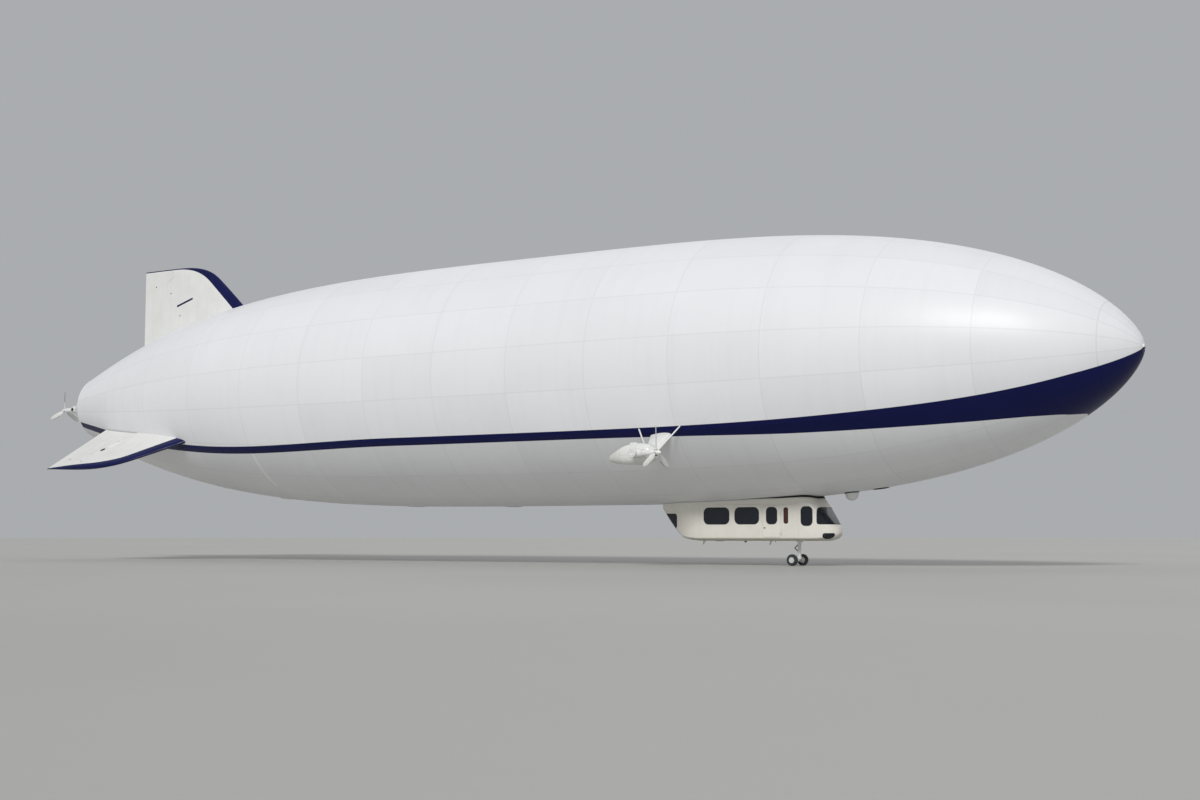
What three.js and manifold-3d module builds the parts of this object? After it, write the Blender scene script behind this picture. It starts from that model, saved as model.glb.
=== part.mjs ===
import * as THREE from "three";
import { mergeVertices } from "three/addons/utils/BufferGeometryUtils.js";
import Module from "manifold-3d";

// A semi-rigid airship with a three-finned tail, as a 1:2 scale model in millimetres, on its gear.
// The bow points along -Y, port is +X, up is +Z, and the origin is the lift centre on the hull's axis.
// A station is a distance aft of the bow's tip, and a reach is a distance out from the hull's axis.

// Hull
const HULL_RADIUS = 3540;
const WIDEST_STATION = 15900;
const PROFILE_LENGTH = 37000;
const PROFILE_END_RADIUS = 622;
const BOW_POWERS = { along: 3.47, across: 1.54 };
const STERN_POWERS = { along: 3.61, across: 0.825 };
const LIFT_STATION = 17000;
const SKIN = 10;
const HULL_SIDES = 36;
const HULL_BAYS = 22;
const NOSE_CONE_END = 800;
const NOSE_STATIONS = [40, 120, 260, 500];
const TAIL_CONE_START = 35700;
const TAIL_CONE_END = 36850;
const TAIL_CONE_END_RADIUS = 220;
const TAIL_CONE_POWER = 1.15;
const TAIL_STATIONS = [35930, 36160, 36390, 36620];
const MOORING_FACE_RADIUS = 60;

// Clearances
const TOUCH = 0.4; // between pieces that rest on each other
const SWING = 8; // beside a piece that moves

// Fins, with the rudder's hinge line running aft as it runs out
const FIN_ANGLES = { top: 0, port: 120, starboard: -120 };
const FIN_TIP_REACH = 4550;
const FIN_TRAILING_STATION = 33600;
const HINGE_ROOT = { station: 31670, reach: 2695 };
const HINGE_SLOPE = 0.607; // stations aft for each unit of reach
const HORN_REACH = 4080; // where the rudder's horn begins, measured at the hinge line
const HORN_CHORD = 430;
const RUDDER_ROOT_CLEARANCE = 45;
const RUDDER_NOSE_RADIUS = 42;
const LUG = { thickness: 44, radius: 24, foot: 60 };
const LUG_PLACES = [260, 1180]; // along the hinge line from its root

// Side engines, each carried on an outrigger at the height of the lower longeron
const SIDE_ENGINE = { across: 4200, station: 11300, height: -2350 };
const PROPELLER_RADIUS = 675;
const SIDE_PROPELLER_AHEAD = 600; // from the tilt axis to the blades
const HUB = { radius: 62, rear: 50 };
const DRUM = { radius: 120, halfWidth: 180 };
const TRUNNION_RADIUS = 50;
const SHAFT_HOUSING_RADIUS = 75;
const NACELLE_ACROSS = 3755;
const NACELLE_PAD = { inner: 215, outer: 260, halfLength: 190, halfHeight: 110 };
const NACELLE_BOSS_RADIUS = 110;
const ENGINE_ROOM = { halfWidth: 180, front: -120, rear: 470, floor: -200, roof: 150 };
const INTAKE = { halfWidth: 85, halfHeight: 70, front: -400, rear: -100 };
const ENGINE_BLOCK = { halfWidth: 165, front: -100, rear: 300, top: 90 };
const ARM_ROOT = { across: 2700, height: -1560, halfChord: 330, halfThickness: 75 };
const ARM_TIP = { halfChord: 185, halfThickness: 60 };
const STAY = { radius: 20, rootAcross: 2850, rootHeight: -1250, rootReach: 900, tipReach: 120 };

// Stern engine, with a pusher that tilts down and a side thruster
const STERN_TILT_STATION = 37000;
const STERN_PROPELLER_ASTERN = 620;
const STERN_CHEEK = { inner: 150, outer: 190, halfHeight: 70, root: 150 };
const STERN_BLOCK = { halfWidth: 190, front: 35820, rear: 36200, top: -40 };
const THRUSTER = { station: 36800, across: 660, radius: 525, armRoot: 160, armRadius: 65 };

// Gondola
const WALL = 25;
const PANE = 8;
const FRONT_JOINT = 8690;
const REAR_JOINT = 11600;
const CHINE = -4430;
const CEILING = -3570;
const GONDOLA_BOTTOM = -4510;
const DOOR = { front: 9180, rear: 9720, sill: -4415, head: -3610, gap: 5 };
const DOOR_HINGE = { across: 576, radius: 12, halfHeight: 22, heights: [-4300, -3780] };
const DOOR_GLASS = { inner: 542, outer: 550 };
const WINDOW = { head: -3650, sill: -4075 };
const CABIN_WINDOWS = [
  // front station, rear station
  [9825, 10525],
  [10700, 11450],
];
const DOOR_WINDOW = { front: 9300, rear: 9600 };
const WINDSCREEN = { halfWidth: 480, rear: 8195, sill: -4080, head: -3650 };
const COCKPIT_WINDOW = { front: 8315, rear: 8610, sill: -4120, head: -3640 };
const CHIN_WINDOW = { inner: 220, outer: 450, rear: 8060, sill: -4440, head: -4330 };
const REAR_WINDOW = { front: 12310, sill: -4180, head: -3800 };

// Cabin
const SEAT = { width: 230, depth: 240, panTop: -4290, panThickness: 50, backTop: -3970, back: 45 };
const SEAT_RAIL = { halfWidth: 22, height: 20 };
const PEDESTAL = { halfWidth: 20, front: 60, rear: 180 };
const CABIN_ROWS = [9850, 10300, 10750, 11200];
const PILOT_SEAT = { across: 200, station: 8430 };
const PANEL = { halfWidth: 300, front: 8120, rear: 8200, bottom: -4240, top: -4080 };
const PANEL_STAND = { halfWidth: 60, front: 8130, rear: 8230 };

// Landing gear
const GEAR = { station: 8940, trail: 60, axleHeight: -5000, swivelHeight: -4880 };
const LEG = { radius: 42, footRadius: 85, footHeight: 22 };
const CASTER = { radius: 48, halfWidth: 32, tubeRadius: 44 };
const WHEEL = { radius: 150, width: 110, across: 300, hubRadius: 70 };
const AXLE_RADIUS = 25;
const BEARING_GAP = 0.7;

const wasm = await Module();
wasm.setup();

const white = new THREE.MeshStandardMaterial({ color: 0xe9eaec, roughness: 0.55 });
const cream = new THREE.MeshStandardMaterial({ color: 0xe4e0d2, roughness: 0.45 });
const navy = new THREE.MeshStandardMaterial({ color: 0x0b1547, roughness: 0.4 });
const dark = new THREE.MeshStandardMaterial({ color: 0x23262b, roughness: 0.5 });
const glass = new THREE.MeshStandardMaterial({ color: 0x10161c, roughness: 0.1 });
const rubber = new THREE.MeshStandardMaterial({ color: 0x17181a, roughness: 0.85 });
const metal = new THREE.MeshStandardMaterial({ color: 0x9a9ea3, roughness: 0.4, metalness: 0.8 });
const fabric = new THREE.MeshStandardMaterial({ color: 0x2f3b55, roughness: 0.9 });

// A closed geometry as a solid, turned to face out.
function solid(geometry) {
  const bare = new THREE.BufferGeometry();
  bare.setAttribute("position", geometry.getAttribute("position"));
  bare.setIndex(geometry.index);
  const merged = mergeVertices(bare, 1e-3);
  const vertProperties = new Float32Array(merged.attributes.position.array);
  const triVerts = new Uint32Array(merged.index.array);
  const made = new wasm.Manifold(new wasm.Mesh({ numProp: 3, vertProperties, triVerts }));
  if (made.volume() > 0) return made;
  return new wasm.Manifold(
    new wasm.Mesh({ numProp: 3, vertProperties, triVerts: triVerts.reverse() }),
  );
}

// A named mesh of a solid, added to its group.
function piece(group, name, made, material) {
  const { vertProperties, triVerts } = made.getMesh();
  const geometry = new THREE.BufferGeometry();
  geometry.setAttribute("position", new THREE.BufferAttribute(vertProperties, 3));
  geometry.setIndex(new THREE.BufferAttribute(triVerts, 1));
  geometry.computeVertexNormals();
  const mesh = new THREE.Mesh(geometry, material);
  mesh.name = name;
  group.add(mesh);
  return mesh;
}

// A box from its low corner to its high corner.
function box(low, high) {
  const size = high.map((value, i) => value - low[i]);
  const centre = high.map((value, i) => (value + low[i]) / 2);
  return solid(new THREE.BoxGeometry(...size).translate(...centre));
}

// A rod between two points.
function rod(from, to, radius, sides = 16) {
  const a = new THREE.Vector3(...from);
  const b = new THREE.Vector3(...to);
  const geometry = new THREE.CylinderGeometry(radius, radius, a.distanceTo(b), sides);
  const turn = new THREE.Quaternion().setFromUnitVectors(
    new THREE.Vector3(0, 1, 0),
    b.clone().sub(a).normalize(),
  );
  geometry.applyQuaternion(turn);
  return solid(geometry.translate(...a.add(b).multiplyScalar(0.5)));
}

// A skin over rings of points, closed by a flat face at each end.
function loft(rings) {
  const count = rings[0].length;
  const index = [];
  for (let k = 0; k + 1 < rings.length; k++) {
    for (let i = 0; i < count; i++) {
      const a = k * count + i;
      const b = k * count + ((i + 1) % count);
      index.push(a, b, b + count, a, b + count, a + count);
    }
  }
  const last = (rings.length - 1) * count;
  for (let i = 1; i + 1 < count; i++) {
    index.push(0, i + 1, i, last, last + i, last + i + 1);
  }
  const geometry = new THREE.BufferGeometry();
  geometry.setAttribute("position", new THREE.Float32BufferAttribute(rings.flat(2), 3));
  geometry.setIndex(index);
  return solid(geometry);
}

// A solid turned about the hull's own direction from pairs of radius and station.
function turned(profile, sides) {
  return solid(new THREE.LatheGeometry(profile.map((p) => new THREE.Vector2(...p)), sides));
}

function joined(...solids) {
  return solids.reduce((all, next) => all.add(next));
}

// The hull's radius at a station, with the tail cone's own taper behind it.
function hullRadius(station) {
  if (station <= WIDEST_STATION) {
    const share = (WIDEST_STATION - station) / WIDEST_STATION;
    return HULL_RADIUS * (1 - share ** BOW_POWERS.along) ** (1 / BOW_POWERS.across);
  }
  if (station <= TAIL_CONE_START) {
    const share = (station - WIDEST_STATION) / (PROFILE_LENGTH - WIDEST_STATION);
    const fullness = (1 - share ** STERN_POWERS.along) ** (1 / STERN_POWERS.across);
    return PROFILE_END_RADIUS + (HULL_RADIUS - PROFILE_END_RADIUS) * fullness;
  }
  const left = (TAIL_CONE_END - station) / (TAIL_CONE_END - TAIL_CONE_START);
  const start = hullRadius(TAIL_CONE_START);
  return TAIL_CONE_END_RADIUS + (start - TAIL_CONE_END_RADIUS) * left ** TAIL_CONE_POWER;
}

// The envelope's stations lie closer together towards both ends.
const envelopeStations = Array.from({ length: HULL_BAYS + 1 }, (_, k) => {
  const share = (1 - Math.cos((Math.PI * k) / HULL_BAYS)) / 2;
  return NOSE_CONE_END + (TAIL_CONE_START - NOSE_CONE_END) * share;
});

// The whole hull as one solid, grown by a margin: what meets the hull is cut with it.
function hullSolid(margin) {
  const stations = [...NOSE_STATIONS, ...envelopeStations, ...TAIL_STATIONS, TAIL_CONE_END];
  const skin = stations.map((station) => [hullRadius(station) + margin, station]);
  return turned([[0, stations[0]], ...skin, [0, TAIL_CONE_END]], HULL_SIDES);
}
const hullCut = hullSolid(TOUCH);

const airship = new THREE.Group();
const ship = new THREE.Group(); // inside it Y is the station
ship.position.y = -LIFT_STATION;
airship.add(ship);

// Envelope and cones
const outerSkin = envelopeStations.map((station) => [hullRadius(station), station]);
const innerSkin = outerSkin.map(([radius, station]) => [radius - SKIN, station]).reverse();
piece(ship, "envelope", turned([...outerSkin, ...innerSkin, outerSkin[0]], HULL_SIDES), white);

const noseBack = NOSE_CONE_END - TOUCH;
const noseProfile = [
  [0, 0],
  [MOORING_FACE_RADIUS, 0],
  [MOORING_FACE_RADIUS, NOSE_STATIONS[0]],
  ...[...NOSE_STATIONS, noseBack].map((station) => [hullRadius(station), station]),
  [0, noseBack],
];
piece(ship, "nose_cone", turned(noseProfile, HULL_SIDES), navy);

const tailFront = TAIL_CONE_START + TOUCH;
const engineBay = { across: 240, front: TAIL_CONE_START - 10, rear: 36260, floor: -330, roof: 200 };
function sternCheek(side) {
  const { inner, outer, halfHeight } = STERN_CHEEK;
  const [low, high] = side > 0 ? [inner, outer] : [-outer, -inner];
  const rear = STERN_TILT_STATION + halfHeight;
  return box([low, TAIL_CONE_END - STERN_CHEEK.root, -halfHeight], [high, rear, halfHeight]);
}
const thrusterArmEnd = THRUSTER.across - HUB.rear;
const tailCone = joined(
  turned(
    [
      [0, tailFront],
      ...[tailFront, ...TAIL_STATIONS, TAIL_CONE_END].map((s) => [hullRadius(s), s]),
      [0, TAIL_CONE_END],
    ],
    HULL_SIDES,
  ),
  sternCheek(1),
  sternCheek(-1),
  rod(
    [THRUSTER.armRoot, THRUSTER.station, 0],
    [thrusterArmEnd, THRUSTER.station, 0],
    THRUSTER.armRadius,
  ),
).subtract(
  box(
    [-engineBay.across, engineBay.front, engineBay.floor],
    [engineBay.across, engineBay.rear, engineBay.roof],
  ),
);
piece(ship, "tail_cone", tailCone, white);

// Propellers: three twisted blades and a spinner, thrusting along -Y
function propeller(radius) {
  const hub = turned(
    [
      // radius, place along the shaft, from the spinner's tip
      [0, -150],
      [28, -138],
      [50, -95],
      [HUB.radius, -40],
      [HUB.radius, HUB.rear],
      [0, HUB.rear],
    ],
    16,
  );
  const bladeTable = [
    // reach as a share of the radius, half chord, half thickness, pitch in degrees
    [0.05, 34, 17, 50],
    [0.3, 62, 13, 38],
    [0.7, 66, 9, 24],
    [0.94, 48, 6, 18],
    [1, 26, 4, 17],
  ];
  const blade = (turn) =>
    loft(
      bladeTable.map(([share, halfChord, halfThickness, pitch]) =>
        Array.from({ length: 8 }, (_, i) => {
          const around = (i * Math.PI) / 4;
          const point = new THREE.Vector3(
            halfChord * Math.cos(around),
            halfThickness * Math.sin(around),
            share * radius,
          );
          point.applyAxisAngle(new THREE.Vector3(0, 0, 1), THREE.MathUtils.degToRad(pitch));
          point.applyAxisAngle(new THREE.Vector3(0, 1, 0), turn);
          return point.toArray();
        }),
      ),
    );
  return joined(hub, ...[0, 1, 2].map((k) => blade((k * 2 * Math.PI) / 3)));
}

// A gear housing that turns on trunnions across the hull and carries a propeller shaft ahead.
function tiltUnit(halfWidth, trunnionEnds, shaftLength, shaftRadius) {
  return joined(
    rod([-halfWidth, 0, 0], [halfWidth, 0, 0], DRUM.radius, 24),
    rod([-trunnionEnds, 0, 0], [trunnionEnds, 0, 0], TRUNNION_RADIUS, 24),
    rod([0, 0, 0], [0, -shaftLength, 0], shaftRadius),
  );
}

// Side engines
const nacelleTable = [
  // station from the tilt axis, half width, half height, drop
  [-350, 70, 90, 0],
  [-290, 160, 175, 0],
  [-140, 236, 248, 0],
  [150, 255, 272, 0],
  [500, 236, 245, -15],
  [800, 160, 165, -60],
  [1000, 70, 80, -95],
];
function nacelleSolid() {
  const body = loft(
    nacelleTable.map(([station, halfWidth, halfHeight, drop]) =>
      Array.from({ length: 20 }, (_, i) => {
        const around = (i * Math.PI) / 10;
        const square = (value) => Math.sign(value) * Math.abs(value) ** 0.7;
        return [
          halfWidth * square(Math.cos(around)),
          station,
          drop + halfHeight * square(Math.sin(around)),
        ];
      }),
    ),
  );
  const { halfWidth, front, rear, floor, roof } = ENGINE_ROOM;
  return body
    .subtract(box([-halfWidth, front, floor], [halfWidth, rear, roof]))
    .subtract(
      box(
        [-INTAKE.halfWidth, INTAKE.front, -INTAKE.halfHeight],
        [INTAKE.halfWidth, INTAKE.rear, INTAKE.halfHeight],
      ),
    );
}
for (const [name, side] of [
  ["port", 1],
  ["starboard", -1],
]) {
  const { across, station, height } = SIDE_ENGINE;
  const { inner, outer, halfLength, halfHeight: padHeight } = NACELLE_PAD;
  const place = new THREE.Group();
  place.position.set(side * NACELLE_ACROSS, station, height);
  ship.add(place);
  const bossEnd = across - DRUM.halfWidth - NACELLE_ACROSS - TOUCH;
  const nacelle = joined(
    nacelleSolid(),
    rod([side * inner, 0, 0], [side * bossEnd, 0, 0], NACELLE_BOSS_RADIUS, 24),
    box(
      [side > 0 ? -outer : inner, -halfLength, -padHeight],
      [side > 0 ? -inner : outer, halfLength, padHeight],
    ),
  );
  piece(place, name + "_nacelle", nacelle, white);
  const block = box(
    [-ENGINE_BLOCK.halfWidth, ENGINE_BLOCK.front, ENGINE_ROOM.floor + TOUCH],
    [ENGINE_BLOCK.halfWidth, ENGINE_BLOCK.rear, ENGINE_BLOCK.top],
  );
  piece(place, name + "_engine_block", block, metal);

  // The outrigger is a faired arm with a stay ahead and one behind.
  const armEnd = NACELLE_ACROSS - outer - TOUCH;
  const armTable = [
    // across, height, half chord, half thickness
    [ARM_ROOT.across, ARM_ROOT.height, ARM_ROOT.halfChord, ARM_ROOT.halfThickness],
    [armEnd, height, ARM_TIP.halfChord, ARM_TIP.halfThickness],
  ];
  const arm = loft(
    armTable.map(([x, z, halfChord, halfThickness]) =>
      Array.from({ length: 12 }, (_, i) => {
        const around = (i * Math.PI) / 6;
        const y = station + halfChord * Math.cos(around);
        return [side * x, y, z + halfThickness * Math.sin(around)];
      }),
    ),
  );
  const stays = [-1, 1].map((end) =>
    rod(
      [side * STAY.rootAcross, station + end * STAY.rootReach, STAY.rootHeight],
      [side * (armEnd - 60), station + end * STAY.tipReach, height + 30],
      STAY.radius,
      8,
    ),
  );
  piece(ship, name + "_outrigger", joined(arm, ...stays).subtract(hullCut), white);

  const shaftEnd = SIDE_PROPELLER_AHEAD - HUB.rear - TOUCH;
  const tilt = piece(
    ship,
    name + "_tilt_unit",
    tiltUnit(DRUM.halfWidth, DRUM.halfWidth, shaftEnd, SHAFT_HOUSING_RADIUS),
    white,
  );
  tilt.position.set(side * across, station, height);
  const blades = piece(ship, name + "_propeller", propeller(PROPELLER_RADIUS), dark);
  blades.position.set(side * across, station - SIDE_PROPELLER_AHEAD, height);
}

// Stern engine
const sternBlock = box(
  [-STERN_BLOCK.halfWidth, STERN_BLOCK.front, engineBay.floor + TOUCH],
  [STERN_BLOCK.halfWidth, STERN_BLOCK.rear, STERN_BLOCK.top],
);
piece(ship, "stern_engine_block", sternBlock, metal);
const sternTilt = piece(
  ship,
  "stern_tilt_unit",
  tiltUnit(
    STERN_CHEEK.inner - SWING,
    STERN_CHEEK.inner - TOUCH,
    STERN_PROPELLER_ASTERN - HUB.rear - TOUCH,
    SHAFT_HOUSING_RADIUS,
  ),
  white,
);
sternTilt.position.y = STERN_TILT_STATION;
sternTilt.rotation.z = Math.PI;
const sternPropeller = piece(ship, "stern_propeller", propeller(PROPELLER_RADIUS), dark);
sternPropeller.position.y = STERN_TILT_STATION + STERN_PROPELLER_ASTERN;
sternPropeller.rotation.z = Math.PI;
const thruster = piece(ship, "side_thruster_propeller", propeller(THRUSTER.radius), dark);
thruster.position.set(THRUSTER.across + TOUCH, THRUSTER.station, 0);
thruster.rotation.z = Math.PI / 2;

// Fins and rudders, made upright and then turned about the hull
const hingeStation = (reach) => HINGE_ROOT.station + HINGE_SLOPE * (reach - HINGE_ROOT.reach);
const hingeLean = Math.atan(HINGE_SLOPE);
const finTable = [
  // reach, leading edge station, half thickness
  [1500, 27250, 190],
  [4050, 30080, 110],
  [4310, 30500, 101],
  [4460, 31000, 92],
  [FIN_TIP_REACH, 31950, 80],
];
const finSections = [
  // share of the chord, share of the half thickness
  [0, 0.1],
  [0.03, 0.45],
  [0.12, 0.8],
  [0.35, 1],
  [0.65, 0.72],
  [0.985, 0.09],
];
const wholeFin = loft(
  finTable.map(([reach, leading, half]) => {
    const at = ([share, thick], sign) => [
      sign * half * thick,
      leading + share * (FIN_TRAILING_STATION - leading),
      reach,
    ];
    return [
      ...finSections.map((row) => at(row, 1)),
      ...finSections.map((row) => at(row, -1)).reverse(),
    ];
  }),
);

// A box in the hinge line's own frame: across, aft of the line, and out along it.
function hingeBox(low, high) {
  const size = high.map((value, i) => value - low[i]);
  const centre = high.map((value, i) => (value + low[i]) / 2);
  const geometry = new THREE.BoxGeometry(...size).translate(...centre);
  geometry.rotateX(-hingeLean);
  return solid(geometry.translate(0, HINGE_ROOT.station, HINGE_ROOT.reach));
}
function hingeRod(from, to, radius) {
  const geometry = new THREE.CylinderGeometry(radius, radius, to - from, 16).rotateX(Math.PI / 2);
  geometry.translate(0, 0, (from + to) / 2).rotateX(-hingeLean);
  return solid(geometry.translate(0, HINGE_ROOT.station, HINGE_ROOT.reach));
}
const hornStart = (HORN_REACH - HINGE_ROOT.reach) / Math.cos(hingeLean);
const hornGap = SWING + TOUCH * 10;
const noseGap = RUDDER_NOSE_RADIUS + 2 * SWING; // its shoulders swing past the nose

// The cutting boxes are wider and longer than any fin: past its tip and its trailing edge.
const past = { thickness: 400, aft: 4000, inward: -1800, outward: 3800 };
const rudderReach = joined(
  hingeBox([-past.thickness, 0, past.inward], [past.thickness, past.aft, past.outward]),
  hingeBox([-past.thickness, -HORN_CHORD, hornStart], [past.thickness, 10, past.outward]),
);
const rudderRoom = joined(
  hingeBox([-past.thickness, -noseGap, past.inward], [past.thickness, past.aft, past.outward]),
  hingeBox(
    [-past.thickness, -HORN_CHORD - hornGap, hornStart - hornGap],
    [past.thickness, 10, past.outward],
  ),
);
const lug = (place) =>
  joined(
    hingeBox(
      [-LUG.radius, -noseGap - LUG.foot, place],
      [LUG.radius, 0, place + LUG.thickness],
    ),
    hingeRod(place, place + LUG.thickness, LUG.radius),
  );
const slot = (place) =>
  hingeBox(
    [-past.thickness, -noseGap - LUG.foot, place - TOUCH],
    [past.thickness, LUG.radius + SWING, place + LUG.thickness + TOUCH],
  );
const fin = joined(wholeFin.subtract(rudderRoom), ...LUG_PLACES.map(lug)).subtract(hullCut);
const rudder = joined(
  wholeFin.intersect(rudderReach),
  hingeRod(-500, hornStart + 60, RUDDER_NOSE_RADIUS),
)
  .subtract(hullSolid(RUDDER_ROOT_CLEARANCE))
  .subtract(joined(...LUG_PLACES.map(slot)));
for (const [name, angle] of Object.entries(FIN_ANGLES)) {
  const turn = new THREE.Group();
  turn.rotation.y = THREE.MathUtils.degToRad(angle);
  ship.add(turn);
  piece(turn, name + "_fin", fin, white);
  piece(turn, name + "_rudder", rudder, white);
}

// Gondola: one skin with a wall's thickness, split into its panels
const gondolaTable = [
  // station, half width, top, bottom, upper corner radius, bilge width, bilge height
  [7790, 150, -4180, -4350, 90, 110, 85],
  [7860, 300, -4080, -4420, 150, 200, 110],
  [8080, 450, -3780, -4490, 210, 250, 100],
  [8450, 540, -3330, GONDOLA_BOTTOM, 215, 260, 90],
  [8800, 560, -3250, GONDOLA_BOTTOM, 200, 260, 90],
  [REAR_JOINT, 560, -3250, GONDOLA_BOTTOM, 200, 260, 90],
  [12100, 550, -3250, -4455, 200, 260, 100],
  [12420, 500, -3250, -4190, 170, 200, 140],
  [12820, 400, -3300, -3700, 110, 110, 110],
];
function gondolaSolid(inset) {
  const last = gondolaTable.length - 1;
  return loft(
    gondolaTable.map(([station, halfWidth, top, bottom, corner, wide, high], row) => {
      const shift = row === 0 ? inset : row === last ? -inset : 0;
      const [radius, bilge, rise] = [corner, wide, high].map((r) => Math.max(r - inset, 20));
      const side = halfWidth - inset;
      const corners = [
        // across, height, width and height of the rounding, first angle
        [side - radius, top - inset - radius, radius, radius, 0],
        [radius - side, top - inset - radius, radius, radius, 1],
        [bilge - side, bottom + inset + rise, bilge, rise, 2],
        [side - bilge, bottom + inset + rise, bilge, rise, 3],
      ];
      return corners.flatMap(([x, z, a, b, quarter]) =>
        Array.from({ length: 5 }, (_, i) => {
          const around = ((quarter + i / 4) * Math.PI) / 2;
          return [x + a * Math.cos(around), station + shift, z + b * Math.sin(around)];
        }),
      );
    }),
  );
}
const gondolaOuter = gondolaSolid(0).subtract(hullCut);
const gondolaSkin = gondolaOuter.subtract(gondolaSolid(WALL));
const cabinSpace = gondolaSolid(WALL + TOUCH);
const paneSkin = cabinSpace.subtract(gondolaSolid(WALL + TOUCH + PANE));
const FAR = 3000;

// Floor pan, roof fairing
piece(
  ship,
  "gondola_floor",
  gondolaSkin.intersect(box([-FAR, FRONT_JOINT, -FAR * 2], [FAR, REAR_JOINT, CHINE])),
  cream,
);
piece(
  ship,
  "gondola_roof",
  gondolaOuter.intersect(
    box([-FAR, FRONT_JOINT + TOUCH, CEILING + TOUCH], [FAR, REAR_JOINT - TOUCH, 0]),
  ),
  cream,
);

// Nose with the windscreen, the cockpit side windows and the chin windows cut
function windowPair(inner, outer, { front, rear, sill, head }) {
  return joined(
    box([inner, front, sill], [outer, rear, head]),
    box([-outer, front, sill], [-inner, rear, head]),
  );
}
const noseFrontWindows = joined(
  box(
    [-WINDSCREEN.halfWidth, 7700, WINDSCREEN.sill],
    [WINDSCREEN.halfWidth, WINDSCREEN.rear, WINDSCREEN.head],
  ),
  windowPair(300, 700, COCKPIT_WINDOW),
  windowPair(CHIN_WINDOW.inner, CHIN_WINDOW.outer, { front: 7700, ...CHIN_WINDOW }),
);
piece(
  ship,
  "gondola_nose",
  gondolaSkin
    .intersect(box([-FAR, 0, -FAR * 2], [FAR, FRONT_JOINT - TOUCH, 0]))
    .subtract(noseFrontWindows),
  cream,
);
piece(
  ship,
  "cockpit_glass",
  paneSkin.intersect(box([-FAR, 0, -4455], [FAR, 8660, -3600])),
  glass,
);

// Rear end with its wrap-round window
const rearPane = gondolaSolid(PANE).subtract(gondolaSolid(2 * PANE));
piece(
  ship,
  "gondola_rear",
  gondolaSkin
    .intersect(box([-FAR, REAR_JOINT + TOUCH, -FAR * 2], [FAR, 14000, 0]))
    .subtract(box([-FAR, REAR_WINDOW.front, REAR_WINDOW.sill], [FAR, 14000, REAR_WINDOW.head])),
  cream,
);
piece(
  ship,
  "rear_window",
  rearPane.intersect(
    box(
      [-FAR, REAR_WINDOW.front + TOUCH, REAR_WINDOW.sill + TOUCH],
      [FAR, 14000, REAR_WINDOW.head - TOUCH],
    ),
  ),
  glass,
);

// Sides, doors and their glass
for (const [name, side] of [
  ["port", 1],
  ["starboard", -1],
]) {
  const beside = (low, high, a, b) =>
    side > 0 ? box([low, ...a], [high, ...b]) : box([-high, ...a], [-low, ...b]);
  const wall = gondolaSkin.intersect(
    beside(
      1,
      FAR,
      [FRONT_JOINT + TOUCH, CHINE + TOUCH],
      [REAR_JOINT - TOUCH, CEILING - TOUCH],
    ),
  );
  const windows = CABIN_WINDOWS.map(([front, rear]) =>
    beside(300, 700, [front, WINDOW.sill], [rear, WINDOW.head]),
  );
  const doorway = beside(300, 700, [DOOR.front, DOOR.sill], [DOOR.rear, DOOR.head]);
  const knuckle = (low, high) =>
    rod(
      [side * DOOR_HINGE.across, DOOR.front, low],
      [side * DOOR_HINGE.across, DOOR.front, high],
      DOOR_HINGE.radius,
      12,
    );
  const { halfHeight, heights } = DOOR_HINGE;
  const wallEars = heights.flatMap((z) =>
    [z - 2 * halfHeight, z + halfHeight].map((low) =>
      joined(
        knuckle(low, low + halfHeight),
        beside(548, 578, [DOOR.front - 40, low], [DOOR.front - 0.5, low + halfHeight]),
      ),
    ),
  );
  piece(
    ship,
    "gondola_side_" + name,
    joined(wall.subtract(joined(...windows, doorway)), ...wallEars),
    cream,
  );
  piece(
    ship,
    name + "_cabin_glass",
    paneSkin.intersect(
      beside(
        300,
        700,
        [DOOR.rear + 40, WINDOW.sill - 30],
        [CABIN_WINDOWS[1][1] + 40, WINDOW.head + 30],
      ),
    ),
    glass,
  );
  const doorEars = heights.map((z) => {
    const [low, high] = [z - halfHeight + TOUCH, z + halfHeight - TOUCH];
    return joined(
      knuckle(low, high),
      beside(556, 578, [DOOR.front + 0.5, low], [DOOR.front + 50, high]),
    );
  });
  const doorPanel = wall
    .intersect(
      beside(
        300,
        700,
        [DOOR.front + DOOR.gap, DOOR.sill + DOOR.gap],
        [DOOR.rear - DOOR.gap, DOOR.head - DOOR.gap],
      ),
    )
    .subtract(
      beside(300, 700, [DOOR_WINDOW.front, WINDOW.sill], [DOOR_WINDOW.rear, WINDOW.head]),
    );
  piece(ship, name + "_door", joined(doorPanel, ...doorEars), cream);
  piece(
    ship,
    name + "_door_glass",
    beside(
      DOOR_GLASS.inner,
      DOOR_GLASS.outer,
      [DOOR_WINDOW.front + TOUCH, WINDOW.sill + TOUCH],
      [DOOR_WINDOW.rear - TOUCH, WINDOW.head - TOUCH],
    ),
    glass,
  );
}

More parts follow.
